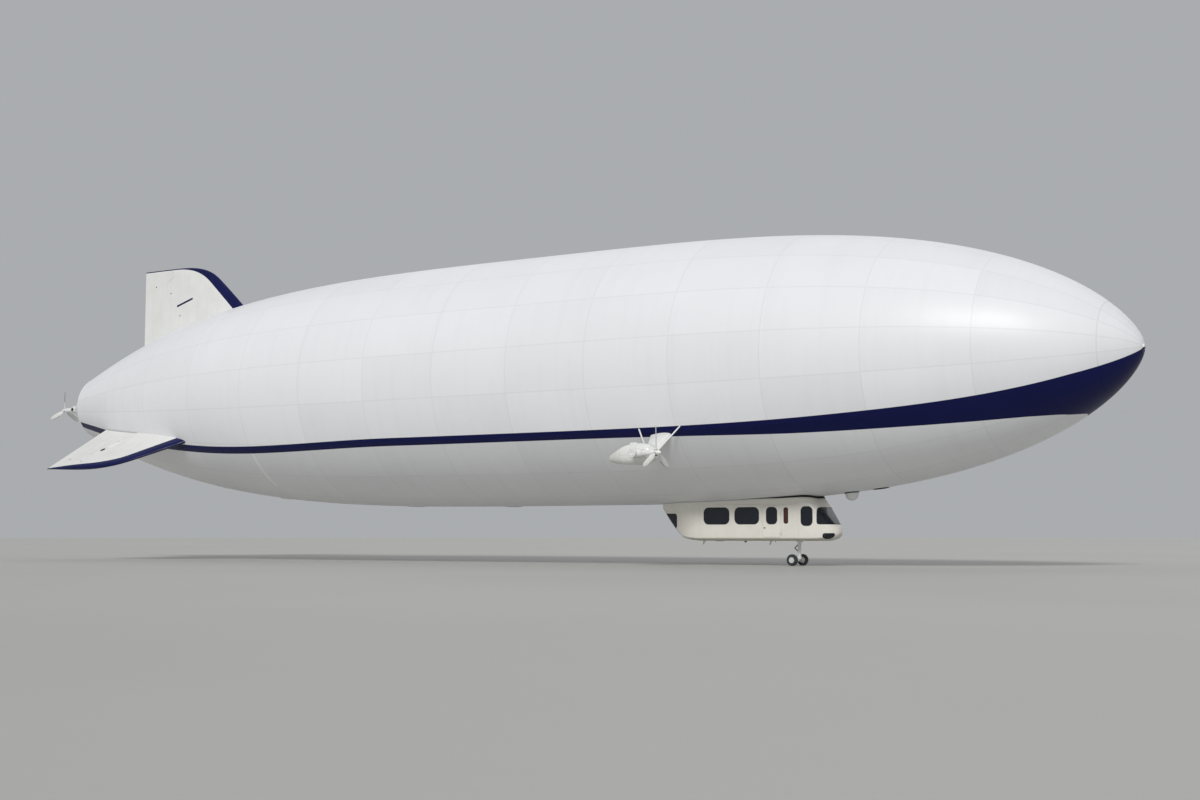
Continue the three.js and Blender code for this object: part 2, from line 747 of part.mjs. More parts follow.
// Seats on a rail
const floorTop = GONDOLA_BOTTOM + WALL + TOUCH;
function seat(across, station) {
  const low = across - SEAT.width / 2;
  const high = across + SEAT.width / 2;
  const rear = station + SEAT.depth;
  return joined(
    box([low, station, SEAT.panTop - SEAT.panThickness], [high, rear, SEAT.panTop]),
    box([low, rear - SEAT.back, SEAT.panTop - 5], [high, rear, SEAT.backTop]),
  );
}
function seatRow(name, across, railAcross, stations) {
  const first = stations[0];
  const end = stations[stations.length - 1] + SEAT.depth;
  const rail = box(
    [railAcross - SEAT_RAIL.halfWidth, first, floorTop],
    [railAcross + SEAT_RAIL.halfWidth, end, floorTop + SEAT_RAIL.height],
  );
  const pedestals = stations.map((station) =>
    box(
      [railAcross - PEDESTAL.halfWidth, station + PEDESTAL.front, floorTop + 10],
      [railAcross + PEDESTAL.halfWidth, station + PEDESTAL.rear, SEAT.panTop - 10],
    ),
  );
  const seats = stations.map((station) => seat(across, station));
  piece(ship, name, joined(rail, ...pedestals, ...seats).intersect(cabinSpace), fabric);
}
seatRow("port_seats", 395, 310, CABIN_ROWS);
seatRow("starboard_seats", -395, -310, CABIN_ROWS);
seatRow("pilot_seat_port", PILOT_SEAT.across, PILOT_SEAT.across, [PILOT_SEAT.station]);
seatRow("pilot_seat_starboard", -PILOT_SEAT.across, -PILOT_SEAT.across, [PILOT_SEAT.station]);

// Control panel, on a stand that is cut to the nose's floor
piece(
  ship,
  "control_panel",
  joined(
    box(
      [-PANEL.halfWidth, PANEL.front, PANEL.bottom],
      [PANEL.halfWidth, PANEL.rear, PANEL.top],
    ),
    box(
      [-PANEL_STAND.halfWidth, PANEL_STAND.front, GONDOLA_BOTTOM - 100],
      [PANEL_STAND.halfWidth, PANEL_STAND.rear, PANEL.bottom + 40],
    ),
  ).intersect(cabinSpace),
  dark,
);

// Landing gear: a fixed leg, a caster with its axle tube, and twin wheels on one axle
const { station: legStation, trail, axleHeight, swivelHeight } = GEAR;
piece(
  ship,
  "gear_leg",
  joined(
    rod(
      [0, legStation, GONDOLA_BOTTOM - TOUCH],
      [0, legStation, GONDOLA_BOTTOM - LEG.footHeight],
      LEG.footRadius,
    ),
    rod([0, legStation, GONDOLA_BOTTOM - 10], [0, legStation, swivelHeight], LEG.radius),
  ),
  white,
);
const axleStation = legStation + trail;
const tubeEnd = WHEEL.across - WHEEL.width / 2 - SWING;
const bearing = rod(
  [-FAR, axleStation, axleHeight],
  [FAR, axleStation, axleHeight],
  AXLE_RADIUS + BEARING_GAP,
  24,
);
piece(
  ship,
  "gear_caster",
  joined(
    rod([0, legStation, swivelHeight - TOUCH], [0, legStation, axleHeight + 15], CASTER.radius),
    box(
      [-CASTER.halfWidth, legStation, axleHeight - 20],
      [CASTER.halfWidth, axleStation, axleHeight + 80],
    ),
    rod(
      [-tubeEnd, axleStation, axleHeight],
      [tubeEnd, axleStation, axleHeight],
      CASTER.tubeRadius,
    ),
  ).subtract(bearing),
  white,
);
function wheel(side) {
  const half = WHEEL.width / 2;
  const right = [
    // radius, distance in from the tyre's side
    [0, 12],
    [WHEEL.hubRadius, 12],
    [80, 0],
    [118, 0],
    [140, 14],
    [WHEEL.radius, 34],
  ];
  const profile = [
    ...right.map(([radius, inward]) => [radius, inward - half]),
    ...right.map(([radius, inward]) => [radius, half - inward]).reverse(),
  ];
  const geometry = new THREE.LatheGeometry(profile.map((p) => new THREE.Vector2(...p)), 24);
  return solid(geometry.rotateZ(Math.PI / 2).translate(side * WHEEL.across, 0, 0));
}
const wheels = piece(
  ship,
  "twin_wheels",
  joined(rod([-WHEEL.across, 0, 0], [WHEEL.across, 0, 0], AXLE_RADIUS, 24), wheel(1), wheel(-1)),
  rubber,
);
wheels.position.set(0, axleStation, axleHeight);

export default airship;
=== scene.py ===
import math

import bmesh
import bpy
from mathutils import Matrix, Vector


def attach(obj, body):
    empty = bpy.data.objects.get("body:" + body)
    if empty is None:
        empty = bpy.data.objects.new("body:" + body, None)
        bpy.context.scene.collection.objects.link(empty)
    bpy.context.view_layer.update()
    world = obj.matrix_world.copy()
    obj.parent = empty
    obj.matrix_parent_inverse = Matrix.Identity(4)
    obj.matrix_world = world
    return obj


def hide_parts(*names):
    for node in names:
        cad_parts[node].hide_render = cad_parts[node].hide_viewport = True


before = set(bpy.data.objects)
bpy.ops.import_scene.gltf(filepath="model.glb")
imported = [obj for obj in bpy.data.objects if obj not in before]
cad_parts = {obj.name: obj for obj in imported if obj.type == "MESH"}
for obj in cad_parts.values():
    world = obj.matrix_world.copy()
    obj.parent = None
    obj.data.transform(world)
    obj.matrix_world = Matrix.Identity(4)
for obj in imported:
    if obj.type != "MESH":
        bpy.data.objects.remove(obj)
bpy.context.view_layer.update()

# Apron and light.
# A pale floor at the height of the tyres' treads, under one broad soft light from starboard
# ahead, a weaker one from port, and an even pale surround.


def linear(colour):
    """An sRGB hex colour as linear red, green, blue and alpha."""
    parts = [int(colour[i : i + 2], 16) / 255 for i in (1, 3, 5)]
    return (*[p / 12.92 if p <= 0.04045 else ((p + 0.055) / 1.055) ** 2.4 for p in parts], 1.0)


def add(tree, kind, inputs=None, output=0, **settings):
    """Adds a node with its settings, and gives one output. An input is a value or an output."""
    made = tree.nodes.new("ShaderNode" + kind)
    for key, value in settings.items():
        setattr(made, key, value)
    for key, value in (inputs or {}).items():
        if isinstance(value, bpy.types.NodeSocket):
            tree.links.new(value, made.inputs[key])
        else:
            made.inputs[key].default_value = value
    return made.outputs[output]


def new_finish(name, **sockets):
    """A material with one shader: its tree, the shader and the object's own coordinates."""
    made = bpy.data.materials.new(name)
    made.use_nodes = True
    tree = made.node_tree
    tree.nodes.clear()
    shader = add(tree, "BsdfPrincipled", {k.replace("_", " "): v for k, v in sockets.items()})
    tree.links.new(shader, tree.nodes.new("ShaderNodeOutputMaterial").inputs["Surface"])
    return made, tree, shader.node, add(tree, "TexCoord", output="Object")


def mottled_finish(name, tones, patches, detail, gloss=None, relief=None, **sockets):
    """A finish that drifts between two tones, in so many patches to the metre.

    gloss is the first tone's roughness and what the second adds to it. relief is the patches'
    height and strength.
    """
    made, tree, shader, place = new_finish(name, **sockets)
    drift = add(tree, "TexNoise", {"Vector": place, "Scale": patches, "Detail": detail})
    first, second = [linear(tone) for tone in tones]
    tone = add(tree, "Mix", {0: drift, 6: first, 7: second}, 2, data_type="RGBA")
    tree.links.new(tone, shader.inputs["Base Color"])
    if gloss:
        rough = add(tree, "Math", {0: drift, 1: gloss[1], 2: gloss[0]}, operation="MULTIPLY_ADD")
        tree.links.new(rough, shader.inputs["Roughness"])
    if relief:
        bump = add(tree, "Bump", {"Height": drift, "Distance": relief[0], "Strength": relief[1]})
        tree.links.new(bump, shader.inputs["Normal"])
    return made


scene = bpy.context.scene
floor_height = -5.15

floor_shape = bmesh.new()
bmesh.ops.create_circle(floor_shape, cap_ends=True, radius=400, segments=96)
bmesh.ops.translate(floor_shape, verts=floor_shape.verts, vec=(0, 0, floor_height))
floor_mesh = bpy.data.meshes.new("apron")
floor_shape.to_mesh(floor_mesh)
floor_shape.free()
apron = bpy.data.objects.new("apron", floor_mesh)
scene.collection.objects.link(apron)
# Painted concrete: matt, and clouded where it has been walked on.
floor_paint = mottled_finish("painted_floor", ("#B1B0AB", "#BAB9B5"), 0.12, 4.0, Roughness=0.7)
floor_mesh.materials.append(floor_paint)

surround = bpy.data.worlds.new("surround")
surround.use_nodes = True
surround.node_tree.nodes["Background"].inputs["Color"].default_value = linear("#E0E3E7")
surround.node_tree.nodes["Background"].inputs["Strength"].default_value = 0.54
scene.world = surround
scene.view_settings.view_transform = "Standard"


def soft_sun(name, strength, spread, aim):
    """A distant lamp as broad as a soft box, shining along aim."""
    lamp = bpy.data.lights.new(name, "SUN")
    lamp.energy = strength
    lamp.angle = math.radians(spread)
    made = bpy.data.objects.new(name, lamp)
    made.rotation_euler = Vector(aim).to_track_quat("-Z", "Y").to_euler()
    scene.collection.objects.link(made)


soft_sun("key_light", 1.9, 14, (0.77, 0.30, -0.57))
soft_sun("fill_light", 0.3, 60, (-0.7, -0.2, -0.5))

eye = bpy.data.cameras.new("eye")
eye.lens = 51.5
eye.clip_end = 1000
azimuth = math.radians(-53)
distance, eye_level = 50, floor_height + 0.8
camera = bpy.data.objects.new("eye", eye)
camera.location = (distance * math.sin(azimuth), 1.9 - distance * math.cos(azimuth), eye_level)
aim = Vector((0.0, -1.9, -0.6)) - camera.location
camera.rotation_euler = aim.to_track_quat("-Z", "Y").to_euler()
scene.collection.objects.link(camera)
scene.camera = camera

# Envelope.
# A gas-tight laminate of polyester cloth and white film, welded from long gores, with a navy
# band that widens under the bow. The gas keeps it smooth and round, 10 mm thick in this model.

station_zero = -17.0  # the bow's tip along Y
nose_joint, widest, tail_joint, tail_tip = 0.8, 15.9, 35.7, 36.85  # stations, aft of the bow's tip
widest_radius, tail_tip_radius = 3.54, 0.22


def fair(points, at):
    """A value on a fair curve through (place, value) points, which never overshoots them."""
    if at <= points[0][0]:
        return points[0][1]
    if at >= points[-1][0]:
        return points[-1][1]
    steps = [(b[1] - a[1]) / (b[0] - a[0]) for a, b in zip(points, points[1:])]
    slopes = [steps[0]]
    for one, two in zip(steps, steps[1:]):
        slopes.append(0.0 if one * two <= 0 else 2 * one * two / (one + two))
    slopes.append(steps[-1])
    k = max(i for i in range(len(steps)) if points[i][0] <= at)
    span = points[k + 1][0] - points[k][0]
    t = (at - points[k][0]) / span
    value = points[k][1] * (1 + 2 * t) * (1 - t) ** 2 + slopes[k] * span * t * (1 - t) ** 2
    value += points[k + 1][1] * t * t * (3 - 2 * t)
    return value - slopes[k + 1] * span * t * t * (1 - t)


def hull_radius(station):
    """The hull's radius at a distance aft of the bow's tip, in metres."""
    if station <= widest:
        return widest_radius * (1 - ((widest - station) / widest) ** 3.47) ** (1 / 1.54)
    if station <= tail_joint:
        return 0.622 + 2.918 * (1 - ((station - widest) / 21.1) ** 3.61) ** (1 / 0.825)
    drop = hull_radius(tail_joint) - tail_tip_radius
    return tail_tip_radius + drop * ((tail_tip - station) / 1.15) ** 1.15


def turned(profile, steps, at=(0, station_zero, 0), towards=(0, 1, 0), closed=False):
    """A surface turned from (radius, height) points, about a line from a point in a direction."""
    shape = bmesh.new()
    points = [shape.verts.new((0, height, radius)) for radius, height in profile]
    edges = [shape.edges.new(pair) for pair in zip(points, points[1:])]
    if closed:
        edges.append(shape.edges.new((points[-1], points[0])))
    bmesh.ops.spin(
        shape, geom=points + edges, cent=(0, 0, 0), axis=(0, 1, 0), dvec=(0, 0, 0),
        angle=2 * math.pi, steps=steps, use_merge=True,
    )
    bmesh.ops.remove_doubles(shape, verts=shape.verts, dist=1e-5)
    bmesh.ops.recalc_face_normals(shape, faces=shape.faces)
    turn = Vector((0, 1, 0)).rotation_difference(Vector(towards))
    bmesh.ops.transform(
        shape, matrix=Matrix.Translation(at) @ turn.to_matrix().to_4x4(), verts=shape.verts
    )
    return shape


def finished(name, shape, finishes, body, stands_for=(), crease=32):
    """A shape as a piece that rides on a body, with its finishes."""
    mesh = bpy.data.meshes.new(name)
    shape.to_mesh(mesh)
    shape.free()
    for finish in finishes if isinstance(finishes, list) else [finishes]:
        mesh.materials.append(finish)
    mesh.shade_smooth()
    mesh.set_sharp_from_angle(angle=math.radians(crease))
    made = bpy.data.objects.new(name, mesh)
    scene.collection.objects.link(made)
    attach(made, body)
    if stands_for:
        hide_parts(*stands_for)
    return made


# The film is satin, so it gives long soft highlights. Each gore is 20 degrees wide and 2.5 m
# long. Its weld is 20 mm wide on the real craft, and is drawn 32 mm wide or it wouldn't show.
laminate, tree, shader, place = new_finish("welded_laminate_film")
axes = add(tree, "SeparateXYZ", {0: place}).node.outputs
beside = add(tree, "Math", {0: axes["X"]}, operation="ABSOLUTE")
round_angle = add(tree, "Math", {0: beside, 1: axes["Z"]}, operation="ARCTAN2")
station = add(tree, "Math", {0: axes["Y"], 1: -station_zero}, operation="ADD")
flat = add(tree, "CombineXYZ", {"X": axes["X"], "Z": axes["Z"]})
radius = add(tree, "VectorMath", {0: flat}, "Value", operation="LENGTH")

# The band's middle is on the 120 degree line and sinks to 124.5 degrees to pass under the fin's
# root. Its half width is 75 mm at the bow and 128 mm from 7 m on. Its lower edge leaves that
# line under the bow and turns through a round end 1.4 m behind the tip.
sinking = {"Value": station, "From Min": 20.0, "From Max": 28.6}
sinking.update({"To Min": math.radians(120), "To Max": math.radians(124.5)})
middle = add(tree, "MapRange", sinking, interpolation_type="SMOOTHSTEP")
wider = {"Value": station, "From Min": 2.0, "From Max": 7.0, "To Min": 0.0, "To Max": 0.053}
widening = add(tree, "MapRange", wider, interpolation_type="SMOOTHSTEP")
half_band = add(tree, "Math", {0: widening, 1: 0.075}, operation="ADD")
broad = add(tree, "Math", {0: radius, 1: 1.5}, operation="MAXIMUM")
half_angle = add(tree, "Math", {0: half_band, 1: broad}, operation="DIVIDE")
upper = add(tree, "Math", {0: middle, 1: half_angle}, operation="SUBTRACT")
behind_tip = add(tree, "Math", {0: station, 1: 1.385}, operation="SUBTRACT")
behind_tip = add(tree, "Math", {0: behind_tip, 1: 0.0}, operation="MAXIMUM")
reach = add(tree, "Math", {0: behind_tip, 1: 12.6}, operation="DIVIDE")
reach = add(tree, "Math", {0: reach, 1: 0.5}, operation="POWER")
sweep = add(tree, "FloatCurve", {"Value": reach})
edge_angles = [
    # root of the distance's share, degrees from the top
    (0.0, 181.5), (0.08, 169.2), (0.1306, 161.3), (0.1775, 153.8), (0.2512, 145.3),
    (0.3128, 139.8), (0.4155, 133.4), (0.5031, 129.4), (0.5818, 126.8), (0.6525, 125.2),
    (0.7191, 124.1), (0.7774, 123.1), (0.8316, 122.3), (0.9003, 121.6), (1.0, 121.2),
]
curve = sweep.node.mapping.curves[0]
lowest_angle, angle_span = 115, 70  # degrees, because a Float Curve runs from 0 to 1
curve_points = [(share, (degrees - lowest_angle) / angle_span) for share, degrees in edge_angles]
curve.points[0].location = curve_points[0]
curve.points[1].location = curve_points[-1]
for share, value in curve_points[1:-1]:
    curve.points.new(share, value)
sweep.node.mapping.update()
bow_angle = {0: sweep, 1: math.radians(angle_span), 2: math.radians(lowest_angle)}
bow_edge = add(tree, "Math", bow_angle, operation="MULTIPLY_ADD")
extra_angle = add(tree, "Math", {0: widening, 1: radius}, operation="DIVIDE")
bow_edge = add(tree, "Math", {0: bow_edge, 1: extra_angle}, operation="ADD")
half_angle = add(tree, "Math", {0: half_band, 1: radius}, operation="DIVIDE")
rear_edge = add(tree, "Math", {0: middle, 1: half_angle}, operation="ADD")
lower = add(tree, "Math", {0: bow_edge, 1: rear_edge}, operation="MAXIMUM")

# How far a point lies inside each of the band's edges, which fade over 6 mm. The band stops for
# 0.25 m behind the fins and ends at the tail cone.
inside = []
for high, low in [(round_angle, upper), (lower, round_angle)]:
    gap = add(tree, "Math", {0: high, 1: low}, operation="SUBTRACT")
    inside.append(add(tree, "Math", {0: gap, 1: radius}, operation="MULTIPLY"))
off_break = add(tree, "Math", {0: station, 1: 33.575}, operation="SUBTRACT")
off_break = add(tree, "Math", {0: off_break}, operation="ABSOLUTE")
inside.append(add(tree, "Math", {0: off_break, 1: 0.125}, operation="SUBTRACT"))
inside.append(add(tree, "Math", {0: 35.69, 1: station}, operation="SUBTRACT"))
band = 1.0
for depth in inside:
    faded = add(tree, "Math", {0: depth, 1: 0.006}, operation="DIVIDE", use_clamp=True)
    band = add(tree, "Math", {0: band, 1: faded}, operation="MULTIPLY")

gore, gore_length = math.radians(20), 2.5
weld_half, weld_fade = 0.012, 0.008
off_seam = add(tree, "Math", {0: round_angle, 1: gore / 2}, operation="PINGPONG")
across = add(tree, "Math", {0: off_seam, 1: radius}, operation="MULTIPLY")
aft = add(tree, "Math", {0: station, 1: nose_joint}, operation="SUBTRACT")
along = add(tree, "Math", {0: aft, 1: gore_length / 2}, operation="PINGPONG")
nearest = add(tree, "Math", {0: across, 1: along}, operation="MINIMUM")
beyond = add(tree, "Math", {0: nearest, 1: weld_half}, operation="SUBTRACT")
beyond = add(tree, "Math", {0: beyond, 1: weld_fade}, operation="DIVIDE", use_clamp=True)
weld = add(tree, "Math", {0: 1.0, 1: beyond}, operation="SUBTRACT")

# Each panel is of a batch of film with its own shade, under a haze of dirt.
gore_number = add(tree, "Math", {0: round_angle, 1: gore}, operation="DIVIDE")
gore_number = add(tree, "Math", {0: gore_number}, operation="FLOOR")
ring_number = add(tree, "Math", {0: aft, 1: gore_length}, operation="DIVIDE")
ring_number = add(tree, "Math", {0: ring_number}, operation="FLOOR")
flank = add(tree, "Math", {0: axes["X"]}, operation="SIGN")
panel = add(tree, "CombineXYZ", {"X": gore_number, "Y": ring_number, "Z": flank})
batch = add(tree, "TexWhiteNoise", {"Vector": panel}, "Value", noise_dimensions="3D")
haze = add(tree, "TexNoise", {"Vector": place, "Scale": 0.5, "Detail": 5.0, "Roughness": 0.6})
# Rain leaves grey streaks down the flanks, 0.1 to 0.3 m apart.
stretched = add(tree, "Mapping", {"Vector": place, "Scale": (0.25, 5.0, 0.25)})
rain = add(tree, "TexNoise", {"Vector": stretched, "Scale": 1.0, "Detail": 6.0})
streak = add(tree, "Math", {0: rain, 1: 0.5}, operation="SUBTRACT", use_clamp=True)
streak = add(tree, "Math", {0: streak, 1: 0.5}, operation="MULTIPLY")
faint = add(tree, "Math", {0: haze, 1: 0.5}, operation="MULTIPLY")
shade = add(tree, "Math", {0: batch, 1: 0.22, 2: faint}, operation="MULTIPLY_ADD")
shade = add(tree, "Math", {0: shade, 1: streak}, operation="ADD", use_clamp=True)
tones = {0: shade, 6: linear("#F1F1F3"), 7: linear("#DEDFE1")}
white = add(tree, "Mix", tones, 2, data_type="RGBA")
seam_shade = add(tree, "Math", {0: weld, 1: 0.22}, operation="MULTIPLY")
tones = {0: seam_shade, 6: white, 7: linear("#C6C9CC")}
welded = add(tree, "Mix", tones, 2, data_type="RGBA")

# A bright strip of fresh film, 0.11 m wide, lies across the lower flank.
strip = 1.0
strip_ends = [(station, 25.8, 0.055), (round_angle, math.radians(138), math.radians(12))]
for measure, centre, half in strip_ends:
    off_centre = add(tree, "Math", {0: measure, 1: centre}, operation="SUBTRACT")
    off_centre = add(tree, "Math", {0: off_centre}, operation="ABSOLUTE")
    within = add(tree, "Math", {0: off_centre, 1: half}, operation="LESS_THAN")
    strip = add(tree, "Math", {0: strip, 1: within}, operation="MULTIPLY")
patched = add(tree, "Mix", {0: strip, 6: welded, 7: linear("#FAFAFA")}, 2, data_type="RGBA")
tones = {0: haze, 6: linear("#060B3C"), 7: linear("#0B124C")}
navy = add(tree, "Mix", tones, 2, data_type="RGBA")
coloured = add(tree, "Mix", {0: band, 6: patched, 7: navy}, 2, data_type="RGBA")
tree.links.new(coloured, shader.inputs["Base Color"])
rough = add(tree, "Math", {0: haze, 1: 0.14, 2: 0.34}, operation="MULTIPLY_ADD")
tree.links.new(rough, shader.inputs["Roughness"])
# The navy is duller than the film.
shine = add(tree, "Math", {0: band, 1: -0.27, 2: 0.45}, operation="MULTIPLY_ADD")
tree.links.new(shine, shader.inputs["Specular IOR Level"])

# The film waves by 4 mm. Behind the band a longeron lies against it, and it is stretched flatter
# on either side than a circle, so the belly turns darker at the band. The ridge fades fore and aft.
wave = add(tree, "TexNoise", {"Vector": place, "Scale": 1.4, "Detail": 2.0})
wave = add(tree, "Math", {0: wave, 1: 0.004}, operation="MULTIPLY")
relief = add(tree, "Math", {0: weld, 1: 0.0012, 2: wave}, operation="MULTIPLY_ADD")
off_line = add(tree, "Math", {0: round_angle, 1: middle}, operation="SUBTRACT")
off_line = add(tree, "Math", {0: off_line}, operation="ABSOLUTE")
off_line = add(tree, "Math", {0: off_line, 1: radius}, operation="MULTIPLY")
off_line = add(tree, "Math", {0: off_line, 1: -1.0}, operation="MULTIPLY")
ridge = add(tree, "Math", {0: off_line}, operation="EXPONENT")
rising = {"Value": station, "From Min": 3.0, "From Max": 10.0}
falling = {"Value": station, "From Min": 25.0, "From Max": 33.0, "To Min": 0.24, "To Max": 0.0}
for fade in (rising, falling):
    share = add(tree, "MapRange", fade, interpolation_type="SMOOTHSTEP")
    ridge = add(tree, "Math", {0: ridge, 1: share}, operation="MULTIPLY")
relief = add(tree, "Math", {0: relief, 1: ridge}, operation="ADD")
bump = add(tree, "Bump", {"Height": relief, "Distance": 1.0, "Strength": 0.6})
tree.links.new(bump, shader.inputs["Normal"])

bays, film = 150, 0.010
halfway = (tail_joint - nose_joint) / 2
skin_stations = [nose_joint + halfway * (1 - math.cos(math.pi * k / bays)) for k in range(bays + 1)]
outer = [(hull_radius(s), s) for s in skin_stations]
inner = [(r - film, s) for r, s in outer[::-6]]
finished(
    "hull_skin", turned(outer + inner, 192, closed=True), laminate, "hull",
    ["envelope"],
)

# Nose cone.
# A moulded laminate dome, painted with the band like the envelope, that carries the mooring
# face at the tip. It is clamped to the envelope with a flat metal ring.

nose = [(0.0, 0.0), (0.052, 0.0), (0.058, 0.002), (0.060, 0.008), (0.060, 0.030), (0.066, 0.036)]
nose += [(hull_radius(s), s) for s in [0.04 * 1.07**k for k in range(45)] if s < 0.79]
nose += [(hull_radius(0.796), 0.796), (hull_radius(0.7996) - 0.004, 0.7996), (0.0, 0.7996)]
finished("nose_dome", turned(nose, 128), laminate, "hull", ["nose_cone"], crease=50)

# Tail cone.
# A moulded glass-fibre cone with cooling slots, bolted to the envelope's last ring. Two cheek
# plates hold the stern engine's bearings, and a faired arm to port holds the side thruster.


def rounded_box(low, high, radius, along=None, segments=5):
    """A box from its low to its high corner, with the edges along one axis rounded, or all."""
    low, high = Vector(low), Vector(high)
    shape = bmesh.new()
    bmesh.ops.create_cube(shape, size=1)
    bmesh.ops.scale(shape, vec=high - low, verts=shape.verts)
    bmesh.ops.translate(shape, vec=(low + high) / 2, verts=shape.verts)
    axis = "XYZ".find(along) if along else None
    edges = [
        e for e in shape.edges if axis is None or abs((e.verts[0].co - e.verts[1].co)[axis]) > 1e-6
    ]
    bmesh.ops.bevel(
        shape, geom=edges, offset=radius, segments=segments, profile=0.5, affect="EDGES",
        material=-1,
    )
    return shape


def combine(shape, tools, operation):
    """A closed shape cut by, joined to or kept within other closed shapes, which are used up."""
    spent = []
    for part in [shape, *tools]:
        made = bpy.data.objects.new("part", bpy.data.meshes.new("part"))
        part.to_mesh(made.data)
        part.free()
        scene.collection.objects.link(made)
        spent.append(made)
    for tool in spent[1:]:
        step = spent[0].modifiers.new("step", "BOOLEAN")
        step.object = tool
        step.operation = operation
        step.solver = "MANIFOLD"
    result = bmesh.new()
    result.from_object(spent[0], bpy.context.evaluated_depsgraph_get())
    for made in spent:
        bpy.data.meshes.remove(made.data)
    bmesh.ops.dissolve_degenerate(result, dist=1e-6, edges=result.edges)
    return result


def gathered(*shapes):
    """Several closed shapes as one, each left whole."""
    result = bmesh.new()
    mesh = bpy.data.meshes.new("part")
    for shape in shapes:
        shape.to_mesh(mesh)
        result.from_mesh(mesh)
        shape.free()
    bpy.data.meshes.remove(mesh)
    return result


def tinted(shape, index):
    """The shape with every face in one of its piece's finishes."""
    for face in shape.faces:
        face.material_index = index
    return shape


def at_station(across, station, height=0.0):
    """A point from its place across the hull, its station and its height over the hull's axis."""
    return Vector((across, station_zero + station, height))


# Two-pack paint over a glass-fibre laminate: glossier than the film, with fine orange peel and
# a little dust. The peel is 2 to 3 mm across in reality and is drawn 12 mm across.
coach_paint, tree, shader, place = new_finish(
    "painted_glass_fibre", Coat_Weight=0.25, Coat_Roughness=0.12
)
dust = add(tree, "TexNoise", {"Vector": place, "Scale": 2.2, "Detail": 6.0, "Roughness": 0.62})
peel = add(tree, "TexNoise", {"Vector": place, "Scale": 80.0, "Detail": 1.0})
tones = {0: dust, 6: linear("#EFEFEF"), 7: linear("#DCDCD8")}
tree.links.new(add(tree, "Mix", tones, 2, data_type="RGBA"), shader.inputs["Base Color"])
rough = add(tree, "Math", {0: dust, 1: 0.22, 2: 0.2}, operation="MULTIPLY_ADD")
tree.links.new(rough, shader.inputs["Roughness"])
bump = add(tree, "Bump", {"Height": peel, "Distance": 0.0006, "Strength": 0.5})
tree.links.new(bump, shader.inputs["Normal"])

# Black moulded polyamide and rubber in the fittings: dull, a little greyed by dust.
black_moulding = mottled_finish(
    "black_moulded_polyamide", ("#0F1113", "#26292C"), 30.0, 5.0, gloss=(0.4, 0.3)
)

cone_stations = [35.7004 + 1.1496 * k / 24 for k in range(25)]
cone_skin = [(hull_radius(s) + (0.0 if s < 36.84 else -0.004), s) for s in cone_stations]
cone_wall = [(r - 0.014, s) for r, s in cone_skin[:-2]]
cone_profile = cone_skin + [(0.205, 36.853), (0.0, 36.853), (0.0, 36.833)] + cone_wall[::-1]
cone = turned(cone_profile, 128, closed=True)
slots = []
for side in (-1, 1):
    for k in range(5):
        low = at_station(side * 0.75 - 0.6, 35.98 + 0.07 * k, -0.16)
        slots.append(rounded_box(low, low + Vector((1.2, 0.025, 0.28)), 0.012, "X", 3))
cone = combine(cone, slots, "DIFFERENCE")
stern_tilt_station = 37.0
quarters = [math.radians(90 * k) for k in range(4)]
bolt_places = [(stern_tilt_station + 0.064 * math.cos(a), 0.064 * math.sin(a)) for a in quarters]
bolt_places += [(36.82 + 0.03 * k / 7, 0.045 if k < 4 else -0.045) for k in (1, 3, 5, 7)]
cheeks = []
for side in (-1, 1):
    low, high = sorted((side * 0.150, side * 0.190))
    plate = rounded_box(
        at_station(low, 36.70, -0.07), at_station(high, 37.07, 0.07), 0.069, "X", 10
    )
    boss = turned(
        [(0, 0), (0.052, 0), (0.058, 0.006), (0.058, 0.012), (0, 0.012)], 32,
        at_station(side * 0.188, stern_tilt_station), (side, 0, 0),
    )
    bolts = [
        turned(
            [(0, 0), (0.007, 0), (0.007, 0.006), (0, 0.006)], 6,
            at_station(side * 0.188, station, height), (side, 0, 0),
        )
        for station, height in bolt_places
    ]
    cheeks += [plate, tinted(boss, 1), *[tinted(b, 1) for b in bolts]]
arm = turned(
    [
        (0, 0.152), (0.099, 0.152), (0.098, 0.24), (0.080, 0.33), (0.066, 0.42), (0.064, 0.52),
        (0.070, 0.53), (0.070, 0.60), (0.064, 0.6095), (0, 0.6095),
    ],
    48, at_station(0, 36.8), (1, 0, 0),
)
cone_ring = turned(
    [
        (hull_radius(35.7) + 0.004, 35.69), (hull_radius(35.7) + 0.006, 35.70),
        (hull_radius(35.72) + 0.006, 35.722), (hull_radius(35.73) - 0.004, 35.73),
        (hull_radius(35.7) - 0.004, 35.69),
    ],
    128, closed=True,
)
finished(
    "tail_cone_shell", gathered(cone, *cheeks, arm, cone_ring), [coach_paint, black_moulding],
    "hull", ["tail_cone"],
)

# Belly valves and dome.
# Air and gas valves on the belly's middle line: a clamped white ring round a black rubber lid
# with a moulded grille. Ahead of the gondola is the white dome of the mooring camera.

# Each valve's station and the radius of its lid.
valve_places = [(6.65, 0.21), (18.08, 0.21), (21.675, 0.21), (26.9, 0.19), (29.55, 0.15)]
dome_station = 7.45


def on_belly(shape, station):
    """A shape made round the origin, facing down, moved onto the belly and leant with it."""
    rise = (hull_radius(station + 0.2) - hull_radius(station - 0.2)) / 0.4
    lean = Matrix.Rotation(-math.atan(rise), 4, "X")
    move = Matrix.Translation(at_station(0, station, -hull_radius(station)))
    bmesh.ops.transform(shape, matrix=move @ lean, verts=shape.verts)
    return shape


